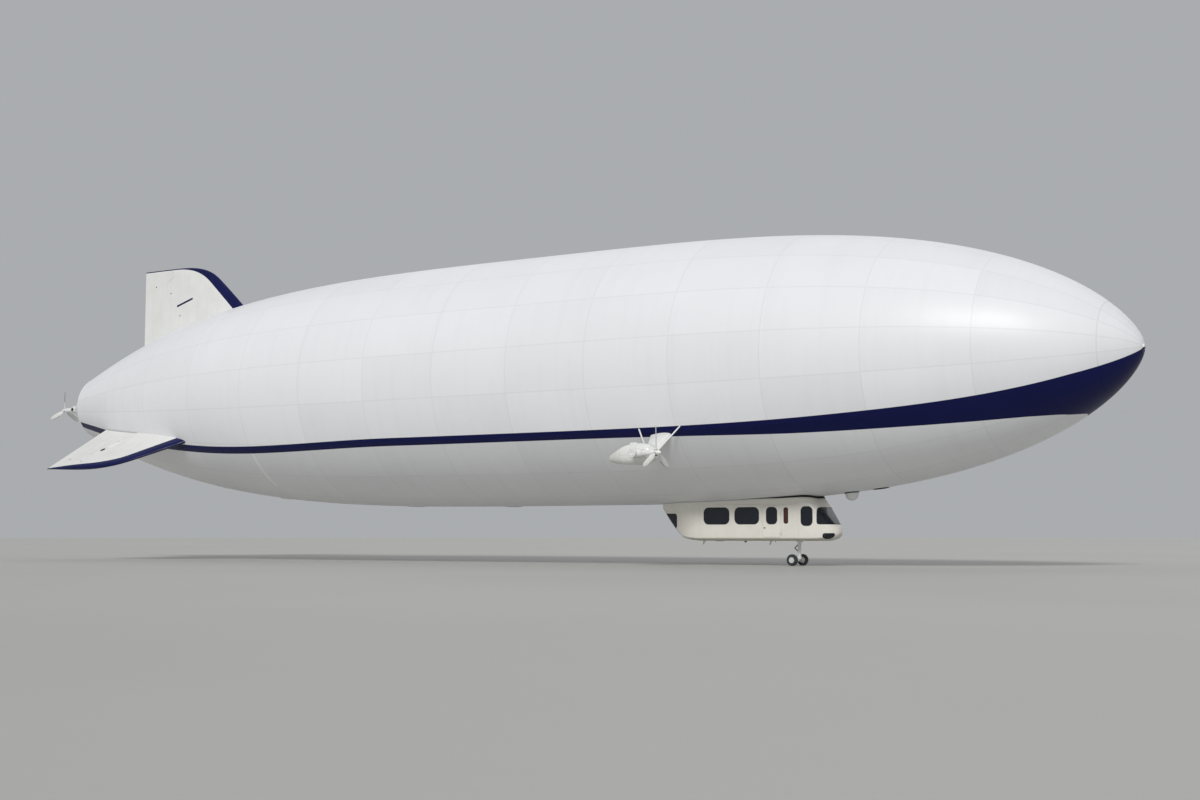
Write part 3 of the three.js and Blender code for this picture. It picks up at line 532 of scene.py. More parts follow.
clamp_ring = [
    # out from the lid's edge, height
    (0.0005, -0.03), (0.036, -0.03), (0.036, 0.004), (0.030, 0.010), (0.016, 0.014),
    (0.006, 0.011), (0.0005, 0.004),
]
valves = []
for station, lid_radius in valve_places:
    profile = [(lid_radius + out, height) for out, height in clamp_ring]
    ring = turned(profile, 72, (0, 0, 0), (0, 0, -1), closed=True)
    lid = turned(
        [
            (0, -0.03), (lid_radius, -0.03), (lid_radius, 0.003), (lid_radius - 0.03, 0.007),
            (0.04, 0.012), (0, 0.012),
        ],
        64, (0, 0, 0), (0, 0, -1),
    )
    ribs = [
        turned(
            [(r - 0.004, 0.0), (r + 0.004, 0.0), (r + 0.003, 0.016), (r - 0.003, 0.016)], 56,
            (0, 0, 0), (0, 0, -1), closed=True,
        )
        for r in [lid_radius * share for share in (0.25, 0.42, 0.59, 0.76, 0.93)]
    ]
    spokes = []
    for k in range(8):
        spoke = rounded_box((0.012, -0.003, -0.0165), (lid_radius * 0.95, 0.003, 0.0), 0.001)
        bmesh.ops.rotate(spoke, matrix=Matrix.Rotation(k * math.pi / 4, 3, "Z"), verts=spoke.verts)
        spokes.append(tinted(spoke, 1))
    bolts = [
        turned(
            [(0, 0.008), (0.005, 0.008), (0.005, 0.017), (0, 0.018)], 6,
            ((lid_radius + 0.018) * math.cos(a), (lid_radius + 0.018) * math.sin(a), 0), (0, 0, -1),
        )
        for a in [math.radians(15 * k) for k in range(24)]
    ]
    valve = gathered(ring, tinted(lid, 1), *[tinted(r, 1) for r in ribs], *spokes, *bolts)
    valves.append(on_belly(valve, station))
finished("belly_valves", gathered(*valves), [coach_paint, black_moulding], "hull")

dome_angles = [math.radians(degrees) for degrees in range(6, 91, 6)]
dome_profile = [(0, 0.21)] + [(0.17 * math.sin(a), 0.05 + 0.16 * math.cos(a)) for a in dome_angles]
dome = turned(dome_profile + [(0.17, -0.03), (0, -0.03)], 72, (0, 0, 0), (0, 0, -1))
# A black rubber seal round the dome's foot, drawn wide so that it is also painted shadow round the
# dome.
seal_and_shadow_ring = turned(
    [(0.1705, -0.03), (0.1705, 0.022), (0.182, 0.020), (0.192, 0.008), (0.194, -0.03)], 72,
    (0, 0, 0), (0, 0, -1), closed=True,
)
finished(
    "belly_dome", on_belly(gathered(dome, tinted(seal_and_shadow_ring, 1)), dome_station),
    [coach_paint, black_moulding], "hull",
)

# Fins and rudders.
# Three equal glass-fibre fins, 120 degrees apart, painted white with a navy outer edge. Each
# rudder turns on two lugs in a cove behind its fin, and its horn reaches ahead of the hinge.

trailing = 33.600  # the rear edge's station
leading_edge = [
    (1.5, 27.250), (3.97, 29.991), (4.12, 30.18), (4.25, 30.38), (4.36, 30.62), (4.45, 30.92),
    (4.51, 31.26), (4.54, 31.6), (4.55, 31.95),
]
fin_halves = [(1.5, 0.190), (4.05, 0.110), (4.31, 0.101), (4.55, 0.085)]
fin_section = [
    (0.0, 0.0), (0.004, 0.17), (0.015, 0.33), (0.04, 0.52), (0.12, 0.80), (0.22, 0.95), (0.35, 1.0),
    (0.5, 0.9), (0.65, 0.72), (0.85, 0.37), (1.0, 0.09),
]
hinge_station, hinge_reach = 31.670, 2.695
hinge_root = Vector((0, station_zero + hinge_station, hinge_reach))
hinge_lean = math.atan(0.607)
horn_start = (4.080 - hinge_reach) / math.cos(hinge_lean)
horn_length = 0.430


def fin_half(reach, station):
    """Half the fin's thickness at a reach from the hull's axis and a station."""
    front = fair(leading_edge, reach)
    rounding = 1.0 if reach < 4.46 else max(0.0, 1 - ((reach - 4.46) / 0.0915) ** 2) ** 0.5
    share = (station - front) / (trailing - front)
    return fair(fin_halves, reach) * rounding * fair(fin_section, share)


def lofted(rings):
    """A skin over rings of points, closed by a flat face at each end."""
    shape = bmesh.new()
    loops = []
    for ring in rings:
        points = [shape.verts.new(p) for p in ring]
        loops.append([shape.edges.new(pair) for pair in zip(points, points[1:] + points[:1])])
    for one, two in zip(loops, loops[1:]):
        bmesh.ops.bridge_loops(shape, edges=one + two)
    for end in (loops[0], loops[-1]):
        bmesh.ops.contextual_create(shape, geom=end)
    bmesh.ops.recalc_face_normals(shape, faces=shape.faces)
    return shape


fin_rings = []
chord_shares = [
    0.0, 0.003, 0.012, 0.03, 0.06, 0.1, 0.15, 0.22, 0.3, 0.4, 0.5, 0.6, 0.7, 0.8, 0.9, 1.0
]
for reach in [
    1.5, 1.9, 2.3, 2.7, 3.1, 3.3, 3.5, 3.65, 3.8, 3.93, 4.05, 4.14, 4.22, 4.29, 4.35, 4.4, 4.44,
    4.475, 4.5, 4.518, 4.532, 4.543, 4.5495,
]:
    front = fair(leading_edge, reach)
    stations = [front + share * (trailing - front) for share in chord_shares]
    near, far = [
        [(sign * fin_half(reach, s), station_zero + s, reach) for s in stations] for sign in (1, -1)
    ]
    fin_rings.append(near + far[:0:-1])
whole_fin = lofted(fin_rings)


def hinge_frame(shape):
    """A shape made in the hinge's own frame (across, aft of it, out along it), put in place."""
    matrix = Matrix.Translation(hinge_root) @ Matrix.Rotation(-hinge_lean, 4, "X")
    bmesh.ops.transform(shape, matrix=matrix, verts=shape.verts)
    return shape


def hinge_box(low, high):
    return hinge_frame(rounded_box(low, high, 0.0002, "X", 1))


def cove(margin):
    """The round nose of the rudder about the hinge line, as thick as the fin is there."""
    profile = [(0, -0.75)]
    for along in [-0.75, -0.3, 0.0, 0.5, 1.0, 1.4, horn_start + 0.05]:
        reach = hinge_reach + along * math.cos(hinge_lean)
        half = fin_half(reach, hinge_station + along * math.sin(hinge_lean))
        profile.append((half - 0.004 + margin, along))
    profile.append((0, horn_start + 0.05))
    return hinge_frame(turned(profile, 64, (0, 0, 0), (0, 0, 1)))


def hull_solid(margin, sides=192):
    """The whole hull as one solid, grown by a margin, or by (station, margin) points."""
    stations = [0.05 * 1.13**k for k in range(26)] + [1.5 + 0.7 * k for k in range(49)]
    stations += [36.0, 36.4, 36.84]
    grown = margin if isinstance(margin, list) else [(0.0, margin), (37.0, margin)]
    profile = [(hull_radius(s) + fair(grown, s), s) for s in sorted(stations)]
    return turned([(0, profile[0][1])] + profile + [(0, profile[-1][1])], sides)


lug_places = (0.26, 1.18)  # out along the hinge
cut_gap = 0.010
fit_gap = 0.0004  # between a piece and what it stands on
room = [
    hinge_box((-0.4, -0.014, -1.8), (0.4, 4.0, 3.8)),
    hinge_box((-0.4, -horn_length - cut_gap, horn_start - cut_gap), (0.4, 0.01, 3.8)), cove(0.008),
]
fin = combine(whole_fin.copy(), room, "DIFFERENCE")
lugs = [
    hinge_frame(rounded_box((-0.022, -0.13, place), (0.022, 0.015, place + 0.044), 0.010, "Z", 3))
    for place in lug_places
]
fin = combine(fin, lugs, "UNION")
fin = combine(fin, [hull_solid(fit_gap)], "DIFFERENCE")

behind_hinge = hinge_box((-0.4, 0, -1.8), (0.4, 4.0, 3.8))
horn_room = hinge_box((-0.4, -horn_length, horn_start), (0.4, 0.01, 3.8))
rudder = combine(whole_fin, [combine(behind_hinge, [horn_room], "UNION")], "INTERSECT")
rudder = combine(rudder, [cove(0.0)], "UNION")
slots = [
    hinge_box((-0.2, -0.14, place - 0.003), (0.2, 0.034, place + 0.047)) for place in lug_places
]
rudder = combine(rudder, [hull_solid(0.045), *slots], "DIFFERENCE")


def navy_edge(shape, wide):
    """Cuts a fin's skin along the edge of its navy paint and gives the outer part that finish."""
    # By reach and station: straight to the corner, a Bezier curve round it, and straight to the
    # rear. The two lower fins have a wider tip band than the top fin, in the photograph too.
    corner = [
        Vector((3.93, 30.39)), Vector((4.23, 30.72)), Vector((4.4895, 31.15)), Vector((4.498, 32.0))
    ]
    if wide:
        corner[1:] = [Vector((4.14, 30.622)), Vector((4.372, 31.1)), Vector((4.41, 31.9))]
    edge = [Vector((1.5, 27.71))]
    for k in range(13):
        t = k / 12
        weights = [(1 - t) ** 3, 3 * t * (1 - t) ** 2, 3 * t * t * (1 - t), t**3]
        edge.append(sum((w * point for w, point in zip(weights, corner)), Vector((0, 0))))
    edge.append(Vector((4.49 if wide else 4.515, 33.6)))
    planes = []
    for (reach_a, station_a), (reach_b, station_b) in zip(edge, edge[1:]):
        away = Vector((0, -(reach_b - reach_a), station_b - station_a)).normalized()
        planes.append((Vector((0, station_zero + station_a, reach_a)), away))
    for point, away in planes:
        geometry = shape.verts[:] + shape.edges[:] + shape.faces[:]
        bmesh.ops.bisect_plane(shape, geom=geometry, dist=1e-5, plane_co=point, plane_no=away)
    for face in shape.faces:
        middle = face.calc_center_median()
        if any((middle - point).dot(away) > 0 for point, away in planes):
            face.material_index = 1
    return shape


# Two-pack paint again, on the fins. The ribs under the skins, 0.45 m apart, show as faint ridges
# 40 mm wide, with painted shade along them.
fin_white, tree, shader, place = new_finish("painted_fin_skin")
axes = add(tree, "SeparateXYZ", {0: place}).node.outputs
dust = add(tree, "TexNoise", {"Vector": place, "Scale": 1.6, "Detail": 6.0, "Roughness": 0.6})
off_rib = add(tree, "Math", {0: axes["Y"], 1: 0.225}, operation="PINGPONG")
off_rib = add(tree, "Math", {0: off_rib, 1: 0.02}, operation="DIVIDE", use_clamp=True)
ridge = add(tree, "Math", {0: 1.0, 1: off_rib}, operation="SUBTRACT")
tones = {0: dust, 6: linear("#EFEFEE"), 7: linear("#DAD9D2")}
white = add(tree, "Mix", tones, 2, data_type="RGBA")
# Painted shade: the white is darkened along each rib.
rib_painted_shade = add(tree, "Math", {0: ridge, 1: 0.25}, operation="MULTIPLY")
tones = {0: rib_painted_shade, 6: white, 7: linear("#C9C9C4")}
tree.links.new(add(tree, "Mix", tones, 2, data_type="RGBA"), shader.inputs["Base Color"])
rough = add(tree, "Math", {0: dust, 1: 0.2, 2: 0.28}, operation="MULTIPLY_ADD")
tree.links.new(rough, shader.inputs["Roughness"])
bump = add(tree, "Bump", {"Height": ridge, "Distance": 0.002, "Strength": 0.35})
tree.links.new(bump, shader.inputs["Normal"])

# The navy is a satin paint: dark, and paler where dust lies on it.
navy_paint = mottled_finish(
    "navy_paint", ("#060B3C", "#0E1550"), 2.5, 5.0, gloss=(0.25, 0.2), Specular_IOR_Level=0.2,
    Coat_Weight=0.08,
)


def hinge_point(out, aft, sign, lift):
    """A point on a side of the fin's skin, from its place out along the hinge and aft of it."""
    reach = hinge_reach + out * math.cos(hinge_lean) - aft * math.sin(hinge_lean)
    station = hinge_station + out * math.sin(hinge_lean) + aft * math.cos(hinge_lean)
    return Vector((sign * (fin_half(reach, station) + lift), station_zero + station, reach))


# The two lower fins carry a long blister over the rudder's drive, and a black disc beyond it.
disc_radius = 0.085
fittings = []
for sign in (1, -1):
    blister = bmesh.new()
    bmesh.ops.create_uvsphere(blister, u_segments=24, v_segments=16, radius=1)
    bmesh.ops.scale(blister, vec=(0.028, 0.05, 0.30), verts=blister.verts)
    bmesh.ops.rotate(blister, matrix=Matrix.Rotation(-hinge_lean, 3, "X"), verts=blister.verts)
    bmesh.ops.translate(blister, vec=hinge_point(0.42, -0.12, sign, -0.004), verts=blister.verts)
    disc = turned(
        [
            (0, -0.02), (disc_radius, -0.02), (disc_radius, 0.004), (disc_radius * 0.8, 0.008),
            (0, 0.006),
        ],
        32, hinge_point(0.85, -0.13, sign, 0), (sign, 0, 0),
    )
    fittings += [blister, tinted(disc, 2)]


def rudder_lights():
    """A small lamp on either side of a rudder, near its tip."""
    reach, station = 4.0, 33.05
    for sign in (1, -1):
        profile = [(0, -0.01), (0.022, -0.01), (0.022, 0.004), (0.012, 0.012), (0, 0.013)]
        centre = (sign * fin_half(reach, station), station_zero + station, reach)
        yield tinted(turned(profile, 24, centre, (sign, 0, 0)), 2)


def navy_lines():
    """A thin painted line on either side of the top fin, ahead of its rudder."""
    half_wide, lift, thickness = 0.032, 0.0012, 0.002
    ends = [(31.21, 3.469), (31.97, 3.258)]  # station and reach
    for sign in (1, -1):
        patch = bmesh.new()
        corners = []
        for station, reach in ends:
            for height in (reach + half_wide, reach - half_wide):
                out = sign * (fin_half(height, station) + lift)
                corners.append((out, station_zero + station, height))
        patch.faces.new([patch.verts.new(corners[k]) for k in (0, 1, 3, 2)])
        bmesh.ops.subdivide_edges(patch, edges=patch.edges, cuts=6, use_grid_fill=True)
        for vert in patch.verts:
            vert.co.x = sign * (fin_half(vert.co.z, vert.co.y - station_zero) + lift)
        bmesh.ops.solidify(patch, geom=patch.faces[:], thickness=thickness)
        bmesh.ops.recalc_face_normals(patch, faces=patch.faces)
        yield tinted(patch, 1)


for name, degrees in [("top", 0), ("port", 120), ("starboard", -120)]:
    lower = name != "top"
    extras = [extra.copy() for extra in fittings] if lower else navy_lines()
    for kind, shape, added, body in [
        ("fin", fin, extras, "hull"), ("rudder", rudder, rudder_lights(), name + "_rudder")
    ]:
        copy = gathered(navy_edge(shape.copy(), lower), *added)
        turn = Matrix.Rotation(math.radians(degrees), 3, "Y")
        bmesh.ops.rotate(copy, matrix=turn, verts=copy.verts)
        finished(
            f"{name}_{kind}_skin", copy, [fin_white, navy_paint, black_moulding], body,
            [f"{name}_{kind}"], crease=28,
        )

# Outriggers.
# A carbon-fibre arm with a fairing runs out from the hull's frame to each nacelle, with a steel
# stay ahead of it and one behind.

engine_station, engine_height, engine_across, nacelle_across = 11.300, -2.350, 4.200, 3.755
pad_outer, drum_half = 0.260, 0.180
sides = [("port", 1), ("starboard", -1)]
arm_root, root_height = 2.70, -1.560
for name, side in sides:
    arm_end = nacelle_across - pad_outer - fit_gap
    rings = []
    for k in range(13):
        t = k / 12
        across = arm_root + (arm_end - arm_root) * t
        height = root_height + (engine_height - root_height) * t
        flare = max(0.0, 0.62 - t) ** 2 * 0.9 + max(0.0, t - 0.88) ** 2 * 2.0
        half_chord = 0.330 - 0.145 * t + flare * 0.35
        half_thick = 0.075 - 0.015 * t + flare * 0.22
        ring = []
        for j in range(32):
            a = 2 * math.pi * j / 32
            share = (1 - math.cos(a)) / 2
            thick = 2.6 * (share**0.5 * (1 - share) + 0.06 * share) * (1 if a < math.pi else -1)
            aft = station_zero + engine_station + half_chord * (2 * share - 1)
            up = height + half_thick * thick * (0.98 if share < 1 else 0)
            ring.append((side * across, aft, up))
        rings.append(ring)
    arm = lofted(rings)
    stays = []
    for end in (-1, 1):
        root = at_station(side * 2.850, engine_station + end * 0.90, -1.250)
        tip = at_station(
            side * (arm_end - 0.06), engine_station + end * 0.12, engine_height + 0.03
        )
        length = (tip - root).length
        profile = [
            (0, 0), (0.020, 0), (0.020, length - 0.10), (0.026, length - 0.09),
            (0.026, length - 0.03), (0.014, length), (0, length),
        ]
        stays.append(turned(profile, 20, root, (tip - root).normalized()))
    outrigger = combine(arm, stays, "UNION")
    outrigger = combine(outrigger, [hull_solid(fit_gap)], "DIFFERENCE")
    finished(
        name + "_outrigger_fairing", outrigger, coach_paint, "hull",
        [name + "_outrigger"],
    )

# Nacelles.
# A glass-fibre cowl round each side engine, bolted to the outrigger's pad, with an intake in its
# lip, an outlet in its tail and a flanged bearing for the gearbox on its outer side.

nacelle_table = [
    # aft of the tilt axis, half width, half height, drop
    (-0.350, 0.100, 0.100, 0.0), (-0.335, 0.122, 0.124, 0.0), (-0.29, 0.160, 0.168, 0.0),
    (-0.14, 0.232, 0.243, 0.0), (0.150, 0.255, 0.272, 0.0), (0.500, 0.236, 0.245, -0.015),
    (0.800, 0.160, 0.165, -0.060), (0.985, 0.078, 0.086, -0.093), (1.000, 0.070, 0.078, -0.095),
]


def cowl_ring(side, aft):
    """The cowl's section at a place aft of the tilt axis, a little squarer than an oval."""
    width, high, drop = [fair([(row[0], row[k]) for row in nacelle_table], aft) for k in (1, 2, 3)]
    ring = []
    for j in range(64):
        a = 2 * math.pi * j / 64
        c, s = [math.copysign(abs(v) ** 0.86, v) for v in (math.cos(a), math.sin(a))]
        height = engine_height + drop + high * s
        ring.append(at_station(side * nacelle_across + width * c, engine_station + aft, height))
    return ring


def scaled_ring(ring, share, shift):
    """A ring drawn in towards its middle and moved along the hull."""
    middle = sum((Vector(p) for p in ring), Vector()) / len(ring)
    return [middle + (Vector(p) - middle) * share + Vector((0, shift, 0)) for p in ring]


# Two-pack paint, polished: the glossiest white on the craft, with exhaust dirt on the tail. The
# panel splits are 3 mm wide in reality and are drawn 8 mm wide.
engine_skin, tree, shader, place = new_finish("cowl_paint", Coat_Weight=0.3, Coat_Roughness=0.1)
axes = add(tree, "SeparateXYZ", {0: place}).node.outputs
dust = add(tree, "TexNoise", {"Vector": place, "Scale": 3.5, "Detail": 7.0, "Roughness": 0.65})
aft = add(tree, "Math", {0: axes["Y"], 1: -(station_zero + engine_station)}, operation="ADD")
# One split runs along the waist, between the first and the last of three round the cowl.
off_waist = add(tree, "Math", {0: axes["Z"], 1: engine_height - 0.03}, operation="SUBTRACT")
off_waist = add(tree, "Math", {0: off_waist}, operation="ABSOLUTE")
off_panels = add(tree, "Math", {0: aft, 1: 0.19}, operation="SUBTRACT")
off_panels = add(tree, "Math", {0: off_panels}, operation="ABSOLUTE")
outside = add(tree, "Math", {0: off_panels, 1: 0.43}, operation="LESS_THAN")
outside = add(tree, "Math", {0: 1.0, 1: outside}, operation="SUBTRACT")
nearest = add(tree, "Math", {0: off_waist, 1: outside}, operation="ADD")
for split in (-0.235, 0.14, 0.62):
    off_split = add(tree, "Math", {0: aft, 1: split}, operation="SUBTRACT")
    off_split = add(tree, "Math", {0: off_split}, operation="ABSOLUTE")
    nearest = add(tree, "Math", {0: nearest, 1: off_split}, operation="MINIMUM")
nearest = add(tree, "Math", {0: nearest, 1: 0.004}, operation="DIVIDE", use_clamp=True)
line = add(tree, "Math", {0: 1.0, 1: nearest}, operation="SUBTRACT")
tail_share = add(tree, "Math", {0: aft, 1: 0.55}, operation="SUBTRACT")
tail_share = add(tree, "Math", {0: tail_share, 1: 0.5}, operation="DIVIDE", use_clamp=True)
patchy = add(tree, "Math", {0: dust, 1: 0.15}, operation="ADD")
soot = add(tree, "Math", {0: tail_share, 1: patchy}, operation="MULTIPLY")
soot = add(tree, "Math", {0: soot, 1: 0.55}, operation="MULTIPLY")
tones = {0: dust, 6: linear("#F0F0EE"), 7: linear("#D9D8D0")}
clean = add(tree, "Mix", tones, 2, data_type="RGBA")
dirty = add(tree, "Mix", {0: soot, 6: clean, 7: linear("#9A968A")}, 2, data_type="RGBA")
line_shade = add(tree, "Math", {0: line, 1: 0.75}, operation="MULTIPLY")
tones = {0: line_shade, 6: dirty, 7: linear("#55565A")}
tree.links.new(add(tree, "Mix", tones, 2, data_type="RGBA"), shader.inputs["Base Color"])
rough = add(tree, "Math", {0: dust, 1: 0.25, 2: 0.2}, operation="MULTIPLY_ADD")
tree.links.new(rough, shader.inputs["Roughness"])
groove = add(tree, "Math", {0: line, 1: -0.002}, operation="MULTIPLY")
bump = add(tree, "Bump", {"Height": groove, "Distance": 1.0, "Strength": 0.6})
tree.links.new(bump, shader.inputs["Normal"])

duct_radius = 0.078
for name, side in sides:
    places = [
        -0.350, -0.346, -0.338, -0.325, -0.305, -0.28, -0.25, -0.21, -0.17, -0.12, -0.06, 0.02,
        0.15, 0.3, 0.42, 0.5, 0.58, 0.66, 0.74, 0.82, 0.90, 0.96, 0.988, 1.0,
    ]
    skin = [cowl_ring(side, p) for p in places]
    lip, tail = skin[0], skin[-1]
    duct = [
        scaled_ring(lip, share, shift)
        for share, shift in [(0.80, 0.10), (0.80, 0.05), (0.80, 0.014), (0.86, 0.002)]
    ]
    outlet = [
        scaled_ring(tail, share, shift)
        for share, shift in [(0.90, 0.0), (0.84, -0.004), (0.80, -0.06)]
    ]
    cowl = lofted(duct + skin + outlet)
    centre = at_station(side * nacelle_across, engine_station, engine_height)
    # The faces inside the shallow intake and outlet are black: painted shade for the dark inside of
    # the cowl.
    for face in cowl.faces:
        gap = face.calc_center_median() - centre
        in_duct = gap.y < -0.2 and math.hypot(gap.x, gap.z) < 0.0825
        in_outlet = gap.y > 0.93 and math.hypot(gap.x, gap.z + 0.094) < 0.0640
        if in_duct or in_outlet:
            face.material_index = 1
    # Five level vanes across the duct, each as wide as the duct is there.
    vanes = []
    for k in range(5):
        height = 0.025 * k - 0.05
        half = (duct_radius**2 - height**2) ** 0.5
        vane = rounded_box((-duct_radius, -0.012, -0.0025), (duct_radius, 0.012, 0.0025), 0.001)
        bmesh.ops.scale(vane, vec=(half / duct_radius, 1, 1), verts=vane.verts)
        bmesh.ops.translate(vane, vec=centre + Vector((0, -0.31, height)), verts=vane.verts)
        vanes.append(tinted(vane, 1))
    boss_end = engine_across - drum_half - nacelle_across - fit_gap
    boss = turned(
        [
            (0, 0.16), (0.135, 0.16), (0.135, boss_end - 0.03), (0.110, boss_end - 0.022),
            (0.110, boss_end), (0, boss_end),
        ],
        64, centre, (side, 0, 0),
    )
    low, high = sorted((-side * 0.205, -side * pad_outer))
    pad = rounded_box(
        centre + Vector((low, -0.19, -0.11)), centre + Vector((high, 0.19, 0.11)), 0.02, None, 4
    )
    body = combine(cowl, [boss, pad], "UNION")
    bolts = [
        turned(
            [(0, 0), (0.008, 0), (0.008, 0.007), (0, 0.007)], 6,
            centre + Vector((side * (boss_end - 0.028), 0.121 * math.cos(a), 0.121 * math.sin(a))),
            (side, 0, 0),
        )
        for a in [math.radians(30 * k) for k in range(12)]
    ]
    scoop = rounded_box((-0.07, -0.10, -0.02), (0.07, 0.10, 0.03), 0.018, None, 4)
    bmesh.ops.translate(scoop, vec=centre + Vector((0, 0.30, 0.258)), verts=scoop.verts)
    finished(
        name + "_cowl", gathered(body, *vanes, *[tinted(b, 2) for b in bolts], scoop),
        [engine_skin, black_moulding, coach_paint], "hull", [name + "_nacelle"],
    )

# Engine blocks.
# A light aircraft engine fills each cowl, and a third one the tail cone. Closed cowls hide them,
# so the CAD's own solids stay, with the finish of their castings.

# Sand-cast aluminium, left bare: a grainy matt grey, darker where oil lies on it. The grain is
# under 1 mm in reality and is drawn 5 mm across.
cast_metal, tree, shader, place = new_finish("cast_aluminium", Metallic=0.9)
grit = add(tree, "TexNoise", {"Vector": place, "Scale": 220.0, "Detail": 3.0})
oil = add(tree, "TexNoise", {"Vector": place, "Scale": 7.0, "Detail": 4.0})
tones = {0: oil, 6: linear("#A9ABAC"), 7: linear("#6F706E")}
tree.links.new(add(tree, "Mix", tones, 2, data_type="RGBA"), shader.inputs["Base Color"])
rough = add(tree, "Math", {0: oil, 1: 0.3, 2: 0.35}, operation="MULTIPLY_ADD")
tree.links.new(rough, shader.inputs["Roughness"])
bump = add(tree, "Bump", {"Height": grit, "Distance": 0.0008, "Strength": 0.6})
tree.links.new(bump, shader.inputs["Normal"])
for node in ("port_engine_block", "starboard_engine_block", "stern_engine_block"):
    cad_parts[node].data.materials.clear()
    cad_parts[node].data.materials.append(cast_metal)

# Tilting gearboxes.
# A smooth painted housing turns on trunnions across the hull and carries the propeller shaft in
# a tapered tube, with a bolted flange where tube and housing meet.


def gearbox(name, centre, half_width, trunnion, shaft_end, towards, node, covers=()):
    """A drum across the hull with its shaft tube, and bolted covers on the ends given."""
    drum = turned(
        [
            (0, -half_width), (0.104, -half_width), (0.117, -half_width + 0.010),
            (0.120, -half_width + 0.022), (0.120, -0.06), (0.120, 0.06),
            (0.120, half_width - 0.022), (0.117, half_width - 0.010), (0.104, half_width),
            (0, half_width),
        ],
        64, (0, 0, 0), (1, 0, 0),
    )
    tube = turned(
        [
            (0, 0.02), (0.118, 0.02), (0.112, 0.10), (0.092, 0.17), (0.080, 0.25), (0.075, 0.36),
            (0.073, shaft_end - 0.03), (0.068, shaft_end - 0.012), (0.058, shaft_end),
            (0, shaft_end),
        ],
        64, (0, 0, 0), towards,
    )
    flange = turned(
        [(0, 0.20), (0.094, 0.20), (0.098, 0.204), (0.098, 0.224), (0.094, 0.228), (0, 0.228)], 64,
        (0, 0, 0), towards,
    )
    parts = [tube, flange]
    if trunnion > half_width:
        profile = [(0, -trunnion), (0.05, -trunnion), (0.05, trunnion), (0, trunnion)]
        parts.append(turned(profile, 48, (0, 0, 0), (1, 0, 0)))
    housing = combine(drum, parts, "UNION")
    bolts = [
        turned(
            [(0, 0.222), (0.0055, 0.222), (0.0055, 0.235), (0, 0.235)], 6,
            (0.088 * math.cos(a), 0, 0.088 * math.sin(a)), towards,
        )
        for a in [math.radians(36 * k) for k in range(10)]
    ]
    for end in covers:
        seam = turned(
            [
                (0.089, half_width - 0.004), (0.093, half_width - 0.004),
                (0.093, half_width + 0.01), (0.089, half_width + 0.01),
            ],
            64, (0, 0, 0), (end, 0, 0), closed=True,
        )
        grip = turned(
            [
                (0, half_width - 0.012), (0.030, half_width - 0.012), (0.034, half_width + 0.01),
                (0, half_width + 0.01),
            ],
            48, (0, 0, 0), (end, 0, 0),
        )
        housing = combine(housing, [seam, grip], "DIFFERENCE")
        bolts += [
            turned(
                [
                    (0, half_width - 0.002), (0.0055, half_width - 0.002),
                    (0.0055, half_width + 0.005), (0, half_width + 0.005),
                ],
                6, (0, 0.074 * math.cos(a), 0.074 * math.sin(a)), (end, 0, 0),
            )
            for a in [math.radians(60 * k) for k in range(6)]
        ]
    whole = gathered(housing, *[tinted(b, 1) for b in bolts])
    bmesh.ops.translate(whole, vec=centre, verts=whole.verts)
    finished(name, whole, [coach_paint, cast_metal], node, [node])


for name, side in sides:
    gearbox(
        name + "_gearbox", at_station(side * engine_across, engine_station, engine_height),
        drum_half, 0.0, 0.5496, (0, -1, 0), name + "_tilt_unit", covers=(side,),
    )
gearbox(
    "stern_gearbox", at_station(0, stern_tilt_station), 0.142, 0.1496, 0.5696, (0, 1, 0),
    "stern_tilt_unit",
)

# Propellers.
# Three glass-fibre blades over a foam core, painted white, with a grey polyurethane strip along
# the outer leading edge. Each root turns in a clamped socket, and a spun spinner covers the hub.

# Two-pack paint, rubbed smooth: glossy, and yellower where dust sticks to it.
blade_white = mottled_finish(
    "painted_blade", ("#F2F2F0", "#DDDCD6"), 9.0, 6.0, gloss=(0.18, 0.25), Coat_Weight=0.3
)

# The strip is a rubbery film: matt mid grey, scuffed by rain.
edge_strip = mottled_finish("polyurethane_strip", ("#6E7276", "#94989B"), 60.0, 5.0, Roughness=0.7)

blade_table = [
    # share of the radius, half chord, half thickness, pitch in degrees
    (0.05, 0.026, 0.026, 52), (0.14, 0.027, 0.024, 48), (0.24, 0.048, 0.016, 41),
    (0.34, 0.063, 0.0125, 36), (0.55, 0.068, 0.0105, 29), (0.75, 0.064, 0.0085, 23),
    (0.90, 0.052, 0.0065, 19), (0.97, 0.038, 0.005, 17.5), (0.995, 0.020, 0.0035, 17),
    (1.0, 0.009, 0.002, 17),
]


